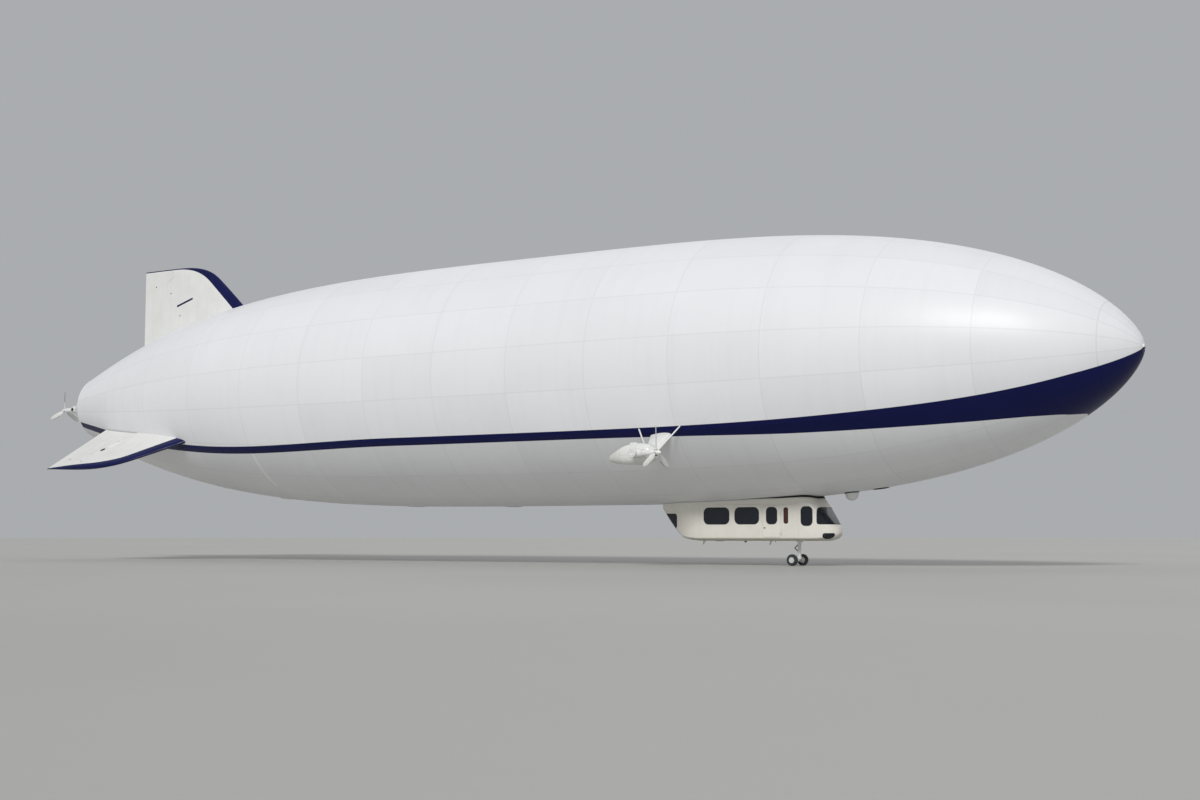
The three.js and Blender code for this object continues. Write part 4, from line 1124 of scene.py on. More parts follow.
def propeller(name, radius, centre, quarter_turns, node):
    """Three blades and a spinner that thrust along -Y, turned about the upright and moved."""
    blades = []
    for turn in [2 * math.pi * third / 3 for third in range(3)]:
        rings = []
        for share in [
            0.05, 0.09, 0.14, 0.19, 0.24, 0.29, 0.34, 0.44, 0.55, 0.66, 0.75, 0.83, 0.90, 0.94,
            0.97, 0.985, 0.995, 1.0,
        ]:
            chord, thick, pitch = [
                fair([(row[0], row[k]) for row in blade_table], share) for k in (1, 2, 3)
            ]
            ring = []
            for j in range(20):
                a = 2 * math.pi * j / 20
                fore = math.cos(a)
                camber = 0.0 if share < 0.2 else 0.25 * thick * (1 - fore * fore)
                lift = thick * math.sin(a) * (1 + 0.25 * fore * (share > 0.2)) - camber
                point = Vector((chord * fore, lift, share * radius))
                point.rotate(Matrix.Rotation(math.radians(pitch), 3, "Z"))
                point.rotate(Matrix.Rotation(turn, 3, "Y"))
                ring.append(point)
            rings.append(ring)
        blade = lofted(rings)
        for face in blade.faces:
            middle = face.calc_center_median()
            middle.rotate(Matrix.Rotation(-turn, 3, "Y"))
            share = middle.z / radius
            if share > 0.45:
                chord, pitch = [
                    fair([(row[0], row[k]) for row in blade_table], share) for k in (1, 3)
                ]
                pitch = math.radians(pitch)
                along = middle.x * math.cos(pitch) + middle.y * math.sin(pitch)
                if along > chord * 0.8:
                    face.material_index = 1
        blades.append(blade)
        socket = turned(
            [(0, 0.030), (0.036, 0.030), (0.036, 0.064), (0.033, 0.070), (0, 0.070)], 32, (0, 0, 0),
            (math.sin(turn), 0, math.cos(turn)),
        )
        blades.append(tinted(socket, 2))
    spinner = turned(
        [
            (0, -0.150), (0.010, -0.149), (0.022, -0.142), (0.036, -0.122), (0.048, -0.092),
            (0.056, -0.058), (0.0605, -0.02), (0.062, 0.012), (0.062, 0.030), (0.058, 0.031),
            (0.058, 0.034), (0.062, 0.035), (0.062, 0.046), (0.058, 0.050), (0, 0.050),
        ],
        64, (0, 0, 0), (0, 1, 0),
    )
    whole = gathered(spinner, *blades)
    bmesh.ops.rotate(
        whole, matrix=Matrix.Rotation(quarter_turns * math.pi / 2, 3, "Z"), verts=whole.verts
    )
    bmesh.ops.translate(whole, vec=centre, verts=whole.verts)
    finished(name, whole, [blade_white, edge_strip, cast_metal], node, [node])


blade_radius, thruster_radius = 0.675, 0.525
for name, side in sides:
    propeller(
        name + "_blades", blade_radius,
        at_station(side * engine_across, engine_station - 0.600, engine_height), 0,
        name + "_propeller",
    )
propeller("stern_blades", blade_radius, at_station(0, 37.620), 2, "stern_propeller")
propeller(
    "thruster_blades", thruster_radius, at_station(0.6604, 36.800), 1, "side_thruster_propeller"
)

# Gondola shell.
# A floor pan, a roof fairing and two end caps of carbon fibre over foam, with a cream gelcoat,
# screwed together round the cabin. The roof stands against the envelope.

half_widths = [
    (8.800, 0.560), (11.500, 0.560), (12.100, 0.550), (12.420, 0.500), (12.700, 0.430),
    (12.820, 0.385),
]
tops = [
    (7.765, -4.270), (7.775, -4.215), (7.800, -4.155), (7.860, -4.070), (7.950, -3.945),
    (8.080, -3.780), (8.300, -3.500), (8.450, -3.345), (8.620, -3.272), (8.800, -3.250),
    (12.500, -3.250), (12.820, -3.300),
]
bottoms = [
    (8.450, -4.510), (11.600, -4.510), (11.850, -4.494), (12.100, -4.452), (12.250, -4.355),
    (12.420, -4.190), (12.820, -3.700),
]
corner_radii = [
    (7.765, 0.010), (7.790, 0.090), (7.860, 0.150), (8.080, 0.210), (8.450, 0.215), (8.800, 0.190),
    (11.600, 0.190), (12.100, 0.200), (12.420, 0.170), (12.820, 0.110),
]
bilges = [
    # station, width and height of the rounding between side and bottom
    (7.765, 0.010, 0.010), (7.790, 0.110, 0.080), (7.860, 0.200, 0.110), (8.080, 0.250, 0.100),
    (8.450, 0.260, 0.085), (11.500, 0.260, 0.085), (12.100, 0.260, 0.095), (12.420, 0.200, 0.140),
    (12.820, 0.110, 0.110),
]
front_joint, rear_joint, chine, ceiling = 8.690, 11.600, -4.430, -3.570
bow_tip, level_from, widest_from, stern_end = 7.765, 8.45, 8.8, 12.82  # stations
full_half, bow_height, gondola_bottom = 0.560, -4.270, -4.510


def gondola_section(station):
    """The gondola at a station: half width, top, bottom, and its upper and lower roundings."""
    half = fair(half_widths, station)
    bottom = fair(bottoms, station)
    if station < widest_from:
        share = (widest_from - station) / (widest_from - bow_tip)
        half = full_half * max(0.0, 1 - share**2.6) ** (1 / 2.1)
    if station < level_from:
        share = (level_from - station) / (level_from - bow_tip)
        bottom = bow_height + (gondola_bottom - bow_height) * max(0.0, 1 - share**3) ** (1 / 2.2)
    wide, high = [fair([(row[0], row[k]) for row in bilges], station) for k in (1, 2)]
    return half, fair(tops, station), bottom, fair(corner_radii, station), wide, high


def gondola_solid(inset):
    """The gondola's outside as one solid, drawn in by an inset."""
    front = bow_tip + (0.002 if inset <= 0 else max(inset * 1.15, 0.004))
    stations = [front + (widest_from - front) * (k / 34) ** 1.7 for k in range(35)]
    stations += [widest_from + 0.34 * k for k in range(1, 8)]
    stations += [11.4 + (stern_end - inset - 11.4) * k / 20 for k in range(21)]
    rings = []
    for station in stations:
        half, top, bottom, *roundings = gondola_section(station)
        half, top, bottom = half - inset, top - inset, bottom + inset
        corner, wide, high = [
            max(0.004, min(r - inset, half * 0.97, (top - bottom) * 0.485)) for r in roundings
        ]
        ring = []
        for quarter, (x, z) in enumerate([(1, 1), (-1, 1), (-1, -1), (1, -1)]):
            across, upright = (corner, corner) if z > 0 else (wide, high)
            for j in range(9):
                a = (quarter + j / 8) * math.pi / 2
                beside = x * (half - across) + across * math.cos(a)
                height = (top if z > 0 else bottom) - z * upright + upright * math.sin(a)
                ring.append(at_station(beside, station, height))
        rings.append(ring)
    return lofted(rings)


def span_box(stations, heights, across=(-3.0, 3.0)):
    """A plain box between two stations, two heights and two places across."""
    return rounded_box(
        at_station(across[0], stations[0], heights[0]),
        at_station(across[1], stations[1], heights[1]), 0.0002, "X", 1,
    )


outer_shape = combine(gondola_solid(0.0), [hull_solid(fit_gap, 256)], "DIFFERENCE")
skin = combine(outer_shape.copy(), [gondola_solid(0.025)], "DIFFERENCE")
glazing_skin = combine(gondola_solid(0.003), [gondola_solid(0.011)], "DIFFERENCE")
gasket_skin = combine(gondola_solid(-0.0025), [gondola_solid(0.013)], "DIFFERENCE")

# Each opening: front and rear station, sill and head, and corner radius.
cabin_windows = [(9.825, 10.525, -4.075, -3.650, 0.135), (10.700, 11.450, -4.075, -3.650, 0.135)]
cockpit_window = (8.315, 8.610, -4.120, -3.640, 0.11)
narrow_window = (8.985, 9.095, -4.060, -3.665, 0.045)
door_window = (9.300, 9.600, -4.075, -3.650, 0.105)
doorway = (9.180, 9.720, -4.415, -3.610, 0.075)


def opening(window, name, grow=0.0):
    """The rounded cutter of a window, through the wall of the side named."""
    front, rear, sill, head, radius = window
    low, high = {"port": (0.2, 0.8), "starboard": (-0.8, -0.2)}[name]
    return rounded_box(
        at_station(low, front - grow, sill - grow), at_station(high, rear + grow, head + grow),
        max(0.003, radius + grow), "X", 10,
    )


def windscreen(grow=0.0):
    return rounded_box(
        at_station(-0.8, 7.5, -4.080 - grow), at_station(0.8, 8.195 + grow, -3.650 + grow),
        0.055 + grow, "X", 8,
    )


def chin(side, grow=0.0):
    low, high = sorted((side * (0.220 - grow), side * 0.8))
    return rounded_box(
        at_station(low, 7.5, -4.448 - grow), at_station(high, 8.06 + grow, -4.322 + grow),
        0.045 + grow, None, 6,
    )


def rear_light(grow=0.0):
    return rounded_box(
        at_station(-0.8, 12.310 - grow, -4.182 - grow), at_station(0.8, 14.0, -3.800 + grow),
        0.07 + grow, "X", 8,
    )


# Gelcoat: a smooth, slightly waxy cream, greyer under the chine with dust and painted shade.
gelcoat, tree, shader, place = new_finish("cream_gelcoat", Coat_Weight=0.2, Coat_Roughness=0.15)
axes = add(tree, "SeparateXYZ", {0: place}).node.outputs
dust = add(tree, "TexNoise", {"Vector": place, "Scale": 3.0, "Detail": 7.0, "Roughness": 0.62})
# Below the chine the cream turns olive grey in patches: partly dust, partly painted shade of the
# underside.
low_down = add(tree, "Math", {0: -4.425, 1: axes["Z"]}, operation="SUBTRACT")
low_down = add(tree, "Math", {0: low_down, 1: 0.03}, operation="DIVIDE", use_clamp=True)
patchy = add(tree, "Math", {0: dust, 1: 0.7, 2: 0.3}, operation="MULTIPLY_ADD")
underside_dust_and_shade = add(tree, "Math", {0: low_down, 1: patchy}, operation="MULTIPLY")
tones = {0: dust, 6: linear("#F1EEE6"), 7: linear("#DEDACD")}
cream = add(tree, "Mix", tones, 2, data_type="RGBA")
tones = {0: underside_dust_and_shade, 6: cream, 7: linear("#B9B4A0")}
tree.links.new(add(tree, "Mix", tones, 2, data_type="RGBA"), shader.inputs["Base Color"])
rough = add(tree, "Math", {0: dust, 1: 0.22, 2: 0.22}, operation="MULTIPLY_ADD")
tree.links.new(rough, shader.inputs["Roughness"])
wave = add(tree, "TexNoise", {"Vector": place, "Scale": 5.0, "Detail": 1.0})
bump = add(tree, "Bump", {"Height": wave, "Distance": 0.002, "Strength": 0.3})
tree.links.new(bump, shader.inputs["Normal"])

joint = 0.0015  # half the gap between two mouldings
floor_pan = combine(skin.copy(), [span_box((front_joint, rear_joint), (-6, chine))], "INTERSECT")
finished("floor_pan", floor_pan, gelcoat, "hull", ["gondola_floor"])
roof = combine(
    outer_shape, [span_box((front_joint + joint, rear_joint - joint), (ceiling + joint, 0))],
    "INTERSECT",
)
finished("roof_fairing", roof, gelcoat, "hull", ["gondola_roof"])
cap = combine(skin.copy(), [span_box((0, front_joint - joint), (-6, 0))], "INTERSECT")
cutters = [windscreen(), chin(1), chin(-1)]
cutters += [opening(cockpit_window, name) for name in ("port", "starboard")]
cap = combine(cap, cutters, "DIFFERENCE")
finished("nose_cap", cap, gelcoat, "hull", ["gondola_nose"])
end = combine(skin.copy(), [span_box((rear_joint + joint, 14), (-6, 0))], "INTERSECT")
end = combine(end, [rear_light()], "DIFFERENCE")
finished("rear_cap", end, gelcoat, "hull", ["gondola_rear"])

# Gondola sides and doors.
# Side panels between floor pan and roof. Each door is a panel in its own rubber seal, hung on
# two outside hinges at its front edge, with a flush handle at the rear one.

door_gap, hinge_line = 0.005, 9.18
hinge_heights = (-4.300, -3.780)


def hinge_ear(side, low, high, front, rear):
    """A knuckle of an outside hinge on its pin's line, with the leaf that holds it."""
    tall = high - low
    knuckle = turned(
        [(0, 0), (0.010, 0), (0.012, 0.002), (0.012, tall - 0.002), (0.010, tall), (0, tall)], 20,
        at_station(side * 0.576, hinge_line, low), (0, 0, 1),
    )
    near, far = sorted((side * 0.5605, side * 0.578))
    return [
        knuckle,
        rounded_box(at_station(near, front, low), at_station(far, rear, high), 0.002, None, 2),
    ]


for name, side in sides:
    reach = (0.001, 3.0) if side > 0 else (-3.0, -0.001)
    between = (front_joint + joint, rear_joint - joint)
    half_cabin = span_box(between, (chine + joint, ceiling - joint), reach)
    wall = combine(skin.copy(), [half_cabin], "INTERSECT")
    panel = combine(wall.copy(), [opening(doorway, name, -door_gap)], "INTERSECT")
    panel = combine(panel, [opening(door_window, name)], "DIFFERENCE")
    cutters = [opening(window, name) for window in [*cabin_windows, narrow_window, doorway]]
    wall = combine(wall, cutters, "DIFFERENCE")
    wall_ears, door_ears = [], []
    for z in hinge_heights:
        for low in (z - 0.044, z + 0.022):
            wall_ears += hinge_ear(side, low, low + 0.022, 9.14, hinge_line - 0.0005)
        door_ears += hinge_ear(side, z - 0.0216, z + 0.0216, hinge_line + 0.0005, 9.23)
    near, far = sorted((side * 0.556, side * 0.568))
    handle = rounded_box(
        at_station(near, 9.625, -4.190), at_station(far, 9.685, -4.165), 0.005, None, 3
    )
    finished(
        name + "_side_panel", gathered(wall, *wall_ears), [gelcoat, black_moulding], "hull",
        ["gondola_side_" + name],
    )
    finished(
        name + "_door_panel", gathered(panel, *door_ears, tinted(handle, 1)),
        [gelcoat, black_moulding], name + "_door", [name + "_door"],
    )
skin.free()

# Gondola windows.
# Cast acrylic, tinted grey-blue against the sun and bonded flush, each in a black rubber
# gasket. The narrow pane ahead of the door is tinted red-brown.

# Cast acrylic is glassy and a little smeared. The brown pane is scuffed and lets no light through.
tinted_acrylic = mottled_finish(
    "tinted_acrylic", ("#141B26", "#242E3D"), 6.0, 5.0, gloss=(0.02, 0.08), IOR=1.49,
    Transmission_Weight=0.55,
)
brown_acrylic = mottled_finish(
    "brown_acrylic", ("#3A1E1C", "#5B2E2A"), 9.0, 4.0, gloss=(0.05, 0.1), IOR=1.49
)

# Extruded rubber: black and dull, with chalky patches where it has aged.
gasket_rubber = mottled_finish(
    "gasket_rubber", ("#0E0F11", "#24262A"), 24.0, 5.0, gloss=(0.6, 0.25)
)

# How far a pane's edge and a gasket's outer and inner edges lie past the edge of the opening.
fit, lip, tuck = -0.0015, 0.011, -0.004


def pane(cutter):
    return combine(glazing_skin.copy(), [cutter], "INTERSECT")


def gasket(cut):
    """The rubber round an opening: its skin within the grown cutter, less the opening itself."""
    ring = combine(gasket_skin.copy(), [cut(lip)], "INTERSECT")
    return combine(ring, [cut(tuck)], "DIFFERENCE")


nose_cuts = [windscreen, lambda g: chin(1, g), lambda g: chin(-1, g)]
nose_cuts += [lambda g, n=n: opening(cockpit_window, n, g) for n in ("port", "starboard")]
finished(
    "nose_glazing", gathered(*[pane(cut(fit)) for cut in nose_cuts]), tinted_acrylic, "hull",
    ["cockpit_glass"],
)
finished(
    "nose_gaskets", gathered(*[gasket(cut) for cut in nose_cuts]), gasket_rubber, "hull",
)
finished(
    "rear_glazing", pane(rear_light(fit)), tinted_acrylic, "hull", ["rear_window"]
)
finished("rear_gasket", gasket(rear_light), gasket_rubber, "hull")
for name in ("port", "starboard"):
    cuts = [lambda g, w=w: opening(w, name, g) for w in cabin_windows]
    finished(
        name + "_cabin_glazing", gathered(*[pane(cut(fit)) for cut in cuts]), tinted_acrylic,
        "hull", [name + "_cabin_glass"],
    )
    finished(
        name + "_strip_pane", pane(opening(narrow_window, name, fit)), brown_acrylic, "hull",
    )
    cuts.append(lambda g: opening(narrow_window, name, g))
    finished(
        name + "_cabin_gaskets", gathered(*[gasket(cut) for cut in cuts]), gasket_rubber, "hull",
    )
    finished(
        name + "_door_glazing", pane(opening(door_window, name, fit)), tinted_acrylic,
        name + "_door", [name + "_door_glass"],
    )
    finished(
        name + "_door_gasket", gasket(lambda g: opening(door_window, name, g)), gasket_rubber,
        name + "_door",
    )
glazing_skin.free()
gasket_skin.free()

# Gondola skirt and brow shadow.
# Pale proofed cloth along the sides, clamped between roof and hull. Round the cockpit's brow a
# taller band of black rubber is painted shadow under the hull, a dark arc dying out over the door.

# Proofed cloth: matt, with puckers 25 mm across. Its weave is too fine to show.
proofed_cloth = mottled_finish(
    "proofed_cloth", ("#C9CACB", "#B4B6B7"), 40.0, 4.0, relief=(0.001, 0.4), Roughness=0.8
)


def skirt_band(stations, width, height):
    """The skirt between two stations: how far it stands out, and how far down it reaches."""
    band = combine(gondola_solid(-width), [gondola_solid(0.004)], "DIFFERENCE")
    band = combine(band, [hull_solid(height, 256), span_box(stations, (-6, 0))], "INTERSECT")
    return combine(band, [hull_solid(0.0008, 256)], "DIFFERENCE")


# How far the black band of painted shadow reaches down under the brow, by station.
brow_shadow_heights = [(8.4, 0.060), (9.1, 0.042), (9.8, 0.012), (10.5, 0.002)]
skirts = [
    skirt_band((8.95, 13.5), 0.010, 0.026), tinted(skirt_band((7.0, 10.3), 0.016, brow_shadow_heights), 1)
]
finished("gondola_skirt_and_brow_shadow", gathered(*skirts), [proofed_cloth, gasket_rubber], "hull")

# Gondola underside.
# A sealed landing light under the nose, a round black access cover to starboard of the middle
# line, a small brown beacon, a drain, and two thin aerials.

# Moulded polycarbonate: glossy, with flutes 3 mm wide in reality that are drawn 8 mm wide.
lamp_lens = mottled_finish(
    "lamp_lens", ("#8FA3B8", "#C4D0DC"), 120.0, 2.0, relief=(0.002, 0.5), Roughness=0.1, IOR=1.5,
    Coat_Weight=0.3,
)

# The beacon's moulded glass, brown while it is unlit, with ripples 11 mm apart.
beacon_glass = mottled_finish(
    "beacon_glass", ("#5A2C16", "#7A4020"), 90.0, 2.0, Roughness=0.15, IOR=1.5
)


def under_gondola(profile, across, station, steps=48):
    """A round fitting on the gondola's bottom, facing down."""
    bottom = gondola_section(station)[2]
    slope = (gondola_section(station + 0.03)[2] - gondola_section(station - 0.03)[2]) / 0.06
    shape = turned(profile, steps, (0, 0, 0), (0, 0, -1))
    lean = Matrix.Rotation(math.atan(slope), 4, "X")
    bmesh.ops.transform(
        shape, matrix=Matrix.Translation(at_station(across, station, bottom)) @ lean,
        verts=shape.verts,
    )
    return shape


lamp_across, lamp_station = 0.05, 8.02
lamp_ring = under_gondola(
    [
        (0.0, -0.02), (0.078, -0.02), (0.078, 0.006), (0.074, 0.012), (0.064, 0.012),
        (0.062, 0.004), (0, 0.004),
    ],
    lamp_across, lamp_station,
)
lamp = tinted(
    under_gondola(
        [(0.0, 0.0), (0.061, 0.0), (0.061, 0.006), (0.045, 0.013), (0.02, 0.017), (0, 0.018)],
        lamp_across, lamp_station,
    ),
    1,
)
cover = tinted(
    under_gondola(
        [
            (0.0, -0.01), (0.105, -0.01), (0.105, 0.004), (0.100, 0.009), (0.085, 0.010),
            (0.080, 0.005), (0.03, 0.005), (0.024, 0.010), (0, 0.011),
        ],
        -0.04, 11.26,
    ),
    2,
)
beacon_across, beacon_station = 0.075, 10.555
beacon_foot = under_gondola(
    [(0, -0.01), (0.045, -0.01), (0.045, 0.006), (0.040, 0.010), (0, 0.010)], beacon_across,
    beacon_station,
)
beacon = tinted(
    under_gondola(
        [(0, 0.0), (0.034, 0.0), (0.034, 0.018), (0.030, 0.034), (0.018, 0.044), (0, 0.047)],
        beacon_across, beacon_station,
    ),
    3,
)
drain = tinted(
    under_gondola(
        [
            (0, -0.01), (0.018, -0.01), (0.018, 0.012), (0.014, 0.016), (0.010, 0.016),
            (0.010, 0.004), (0, 0.004),
        ],
        -0.18, 9.54, 24,
    ),
    2,
)
aerials = []
aerial_length = 0.105
for station in (9.75, 11.75):
    root = gondola_section(station)[2]
    blade = rounded_box((-0.004, -0.035, -aerial_length), (0.004, 0.035, 0.01), 0.0035, None, 3)
    for vert in blade.verts:
        share = max(0.0, -vert.co.z / aerial_length)
        vert.co.y = vert.co.y * (1 - 0.45 * share) + 0.05 * share
    bmesh.ops.translate(blade, vec=at_station(0, station, root), verts=blade.verts)
    foot = rounded_box(
        at_station(-0.014, station - 0.05, root - 0.004),
        at_station(0.014, station + 0.05, root + 0.01), 0.0035, None, 2,
    )
    aerials += [blade, foot]
finished(
    "underside_fittings", gathered(lamp_ring, lamp, cover, beacon_foot, beacon, drain, *aerials),
    [coach_paint, lamp_lens, black_moulding, beacon_glass], "hull",
)

# Seats.
# Aluminium frames on floor rails, four on each side of the cabin and two in the cockpit. The
# cushions are simulated: a blue wool cover over foam, which swells between its seams.

floor_top, pan_top, back_top = -4.4846, -4.290, -3.970
seat_deep = 0.240
pad_swell = 0.012  # the most that a point of a cushion may move

# Woven wool: matt, with a soft sheen. The threads are 1 mm apart in reality and are drawn 4 mm
# apart. The weft is laid by depth and height together, so that it crosses the warp on the pad
# and on the back rest alike.
wool, tree, shader, place = new_finish(
    "wool_cloth", Roughness=0.9, Sheen_Weight=0.25, Sheen_Roughness=0.5
)
axes = add(tree, "SeparateXYZ", {0: place}).node.outputs
depth_and_height = add(tree, "Math", {0: axes["Y"], 1: axes["Z"]}, operation="ADD")
cloth_way = add(tree, "CombineXYZ", {"X": axes["X"], "Y": depth_and_height})
threads = 1.0
for way in "XY":
    laid = {"Vector": cloth_way, "Scale": 80.0, "Distortion": 0.15}
    thread = add(tree, "TexWave", laid, "Fac", bands_direction=way)
    threads = add(tree, "Math", {0: threads, 1: thread}, operation="MULTIPLY")
worn = add(tree, "TexNoise", {"Vector": place, "Scale": 12.0, "Detail": 5.0})
worn = add(tree, "Math", {0: worn, 1: 0.4}, operation="MULTIPLY")
shade = add(tree, "Math", {0: threads, 1: 0.6, 2: worn}, operation="MULTIPLY_ADD")
tones = {0: shade, 6: linear("#1B2740"), 7: linear("#3C4D6E")}
tree.links.new(add(tree, "Mix", tones, 2, data_type="RGBA"), shader.inputs["Base Color"])
bump = add(tree, "Bump", {"Height": threads, "Distance": 0.001, "Strength": 0.5})
tree.links.new(bump, shader.inputs["Normal"])

# Anodised tube and sheet: a soft even grey metal, a little scratched.
anodised = mottled_finish(
    "anodised_aluminium", ("#B3B6B9", "#94989C"), 70.0, 6.0, gloss=(0.28, 0.25), Metallic=0.9
)


def cushion(name, low, high, radius, cap):
    """A rounded block whose cloth cover swells under pressure, no point by more than a cap."""
    block = rounded_box(low, high, radius, None, 3)
    mesh = bpy.data.meshes.new(name)
    block.to_mesh(mesh)
    block.free()
    made = bpy.data.objects.new(name, mesh)
    scene.collection.objects.link(made)
    made.modifiers.new("remesh", "REMESH").voxel_size = 0.010
    depsgraph = bpy.context.evaluated_depsgraph_get()
    even = bpy.data.meshes.new_from_object(made.evaluated_get(depsgraph))
    made.modifiers.clear()
    made.data = even
    start = [v.co.copy() for v in even.vertices]
    cloth = made.modifiers.new("cloth", "CLOTH")
    cloth.settings.use_pressure = True
    cloth.settings.uniform_pressure_force = 4.0
    cloth.settings.effector_weights.gravity = 0.0
    cloth.settings.quality = 6
    cloth.point_cache.frame_end = 20
    for step in range(1, 21):
        scene.frame_set(step)
    swollen = bpy.data.meshes.new_from_object(
        made.evaluated_get(bpy.context.evaluated_depsgraph_get())
    )
    shape = bmesh.new()
    shape.from_mesh(swollen)
    shape.verts.ensure_lookup_table()
    for vert, before in zip(shape.verts, start):
        move = vert.co - before
        if move.length > cap:
            vert.co = before + move * (cap / move.length)
    for used in (mesh, even, swollen):
        bpy.data.meshes.remove(used)
    scene.frame_set(1)
    return shape


def sheet(low, high, corner, rim, along):
    """A plate with round corners, seen along one axis, and a softened rim."""
    shape = rounded_box(low, high, corner, along, 6)
    rims = [edge for edge in shape.edges if edge.calc_face_angle(0.0) > 0.9]
    bmesh.ops.bevel(
        shape, geom=rims, offset=rim, segments=2, profile=0.5, affect="EDGES", material=-1
    )
    return shape


# One pad and one back rest are simulated, and every seat has a copy of them.
pad_master = cushion("pad", (-0.104, 0.012, 0.0), (0.104, 0.180, 0.030), 0.013, pad_swell)
rest_master = cushion("rest", (-0.104, 0.166, 0.036), (0.104, 0.196, 0.300), 0.013, pad_swell)
# The sewn channels: the cover is drawn in along each seam, 36 mm wide. A pad's seam is at a place
# along Y and draws along Z, and a back rest's seams are at heights and draw along Y.
seam_half = 0.018
for master, across_seam, drawn, seams in [
    (pad_master, 1, 2, [0.096]), (rest_master, 2, 1, [0.125, 0.215])
]:
    middle = sum(vert.co[drawn] for vert in master.verts) / len(master.verts)
    for vert in master.verts:
        for seam in seams:
            off_seam = abs(vert.co[across_seam] - seam)
            if off_seam < seam_half:
                vert.co[drawn] -= (vert.co[drawn] - middle) * 0.35 * (1 - off_seam / seam_half) ** 2


def seat_span(across, station, wide, along, up):
    """The corners of a bar or sheet of a seat, from its width and its ends aft and over the pan."""
    low = at_station(across - wide / 2, station + along[0], pan_top + up[0])
    return low, at_station(across + wide / 2, station + along[1], pan_top + up[1])


def seat_frame(across, rail_across, station):
    """One seat's metal and mouldings, on its two posts."""
    pan = seat_span(across, station, 0.200, (0.02, 0.225), (-0.050, -0.034))
    back_up = (-0.046, back_top - 0.02 - pan_top)
    back = seat_span(across, station, 0.200, (0.218, 0.234), back_up)
    parts = [sheet(*pan, 0.018, 0.003, "Z"), sheet(*back, 0.030, 0.004, "Y")]
    # Three pressed ribs across the back sheet, and a moulded pocket below them.
    for height in (0.185, 0.215, 0.245):
        span = seat_span(across, station, 0.140, (0.230, 0.2375), (height, height + 0.012))
        parts.append(rounded_box(*span, 0.0035, None, 2))
    pocket = rounded_box(
        *seat_span(across, station, 0.156, (0.228, 0.241), (0.010, 0.125)), 0.006, None, 3
    )
    parts.append(tinted(pocket, 1))
    tall = pan_top - 0.045 - floor_top
    post = [
        (0, 0.0), (0.016, 0.0), (0.016, 0.006), (0.0105, 0.012), (0.0105, tall - 0.007),
        (0.018, tall), (0, tall),
    ]
    for aft in (0.06, 0.17):
        foot = at_station(rail_across, station + aft, floor_top + 0.006)
        parts.append(turned(post, 20, foot, (0, 0, 1)))
    for edge in (across - 0.108, across + 0.108):
        upright = seat_span(edge, station, 0.012, (0.199, 0.211), (-0.050, 0.105))
        parts.append(rounded_box(*upright, 0.004, None, 2))
        arm_rest = seat_span(edge, station, 0.022, (0.045, 0.222), (0.100, 0.116))
        parts.append(tinted(rounded_box(*arm_rest, 0.006, None, 3), 1))
    return parts


cabin_rows = [9.850, 10.300, 10.750, 11.200]
seat_rows = [
    # the seats' middle and the rail's, across the hull, and the stations of the seats' fronts
    ("port_seats", 0.395, 0.310, cabin_rows), ("starboard_seats", -0.395, -0.310, cabin_rows),
    ("pilot_seat_port", 0.200, 0.200, [8.430]), ("pilot_seat_starboard", -0.200, -0.200, [8.430]),
]
for name, across, rail_across, stations in seat_rows:
    metal, soft = [], []
    first, last = stations[0], stations[-1] + seat_deep
    for low, high, bottom, top in [
        (-0.022, 0.022, 0.0, 0.007), (-0.022, -0.012, 0.005, 0.020), (0.012, 0.022, 0.005, 0.020)
    ]:
        near = at_station(rail_across + low, first, floor_top + bottom)
        far = at_station(rail_across + high, last, floor_top + top)
        metal.append(rounded_box(near, far, 0.002, None, 2))
    for station in stations:
        metal += seat_frame(across, rail_across, station)
        for master in (pad_master, rest_master):
            copy = master.copy()
            bmesh.ops.translate(
                copy, vec=at_station(across, station + 0.022, pan_top - 0.034), verts=copy.verts
            )
            soft.append(copy)
    finished(
        name + "_frames", gathered(*metal), [anodised, black_moulding], "hull", [name]
    )
    pads = finished(
        name + "_cushions", gathered(*soft), wool, "hull", [name], crease=180
    )
    smoother = pads.modifiers.new("smooth", "SUBSURF")
    smoother.levels = smoother.render_levels = 1
pad_master.free()
rest_master.free()

# Control panel.
# A grey crackle-painted box on a stand under the windscreen, with three black screens towards
# the pilots, a row of knobs and a padded glare shield.

# Crackle paint: matt grey. Its wrinkles are 1 mm wide in reality and are drawn 4 mm wide.
crackle = mottled_finish(
    "crackle_paint", ("#3B3E42", "#4C5055"), 260.0, 3.0, relief=(0.0006, 0.6), Roughness=0.6
)

# Coated screen glass: black and glossy, with faint smears.
screen_glass = mottled_finish(
    "screen_glass", ("#07090C", "#12161B"), 14.0, 4.0, Roughness=0.08, Coat_Weight=0.5
)

case = rounded_box(
    at_station(-0.300, 8.120, -4.240), at_station(0.300, 8.195, -4.082), 0.010, None, 3
)
shield = tinted(
    rounded_box(
        at_station(-0.300, 8.118, -4.086), at_station(0.300, 8.200, -4.070), 0.006, None, 3
    ),
    1,
)
stand = rounded_box(
    at_station(-0.060, 8.130, -4.462), at_station(0.060, 8.230, -4.200), 0.008, "Z", 3
)
panel_parts = [case, shield, stand]
for x in (-0.19, 0.0, 0.19):
    low, high = at_station(x - 0.075, 8.19, -4.200), at_station(x + 0.075, 8.199, -4.105)
    panel_parts.append(tinted(rounded_box(low, high, 0.003, None, 2), 2))
for k in range(9):
    knob = turned(
        [(0, 0), (0.007, 0), (0.006, 0.010), (0, 0.011)], 16,
        at_station(-0.24 + 0.06 * k, 8.194, -4.220), (0, 1, 0),
    )
    panel_parts.append(tinted(knob, 1))
finished(
    "instrument_panel", gathered(*panel_parts), [crackle, black_moulding, screen_glass], "hull",
    ["control_panel"],
)

# Landing gear.
# A white sprung leg under the cockpit door, a caster that swivels on its foot, and two pneumatic
# tyres on cast hubs, one at either end of a long axle.

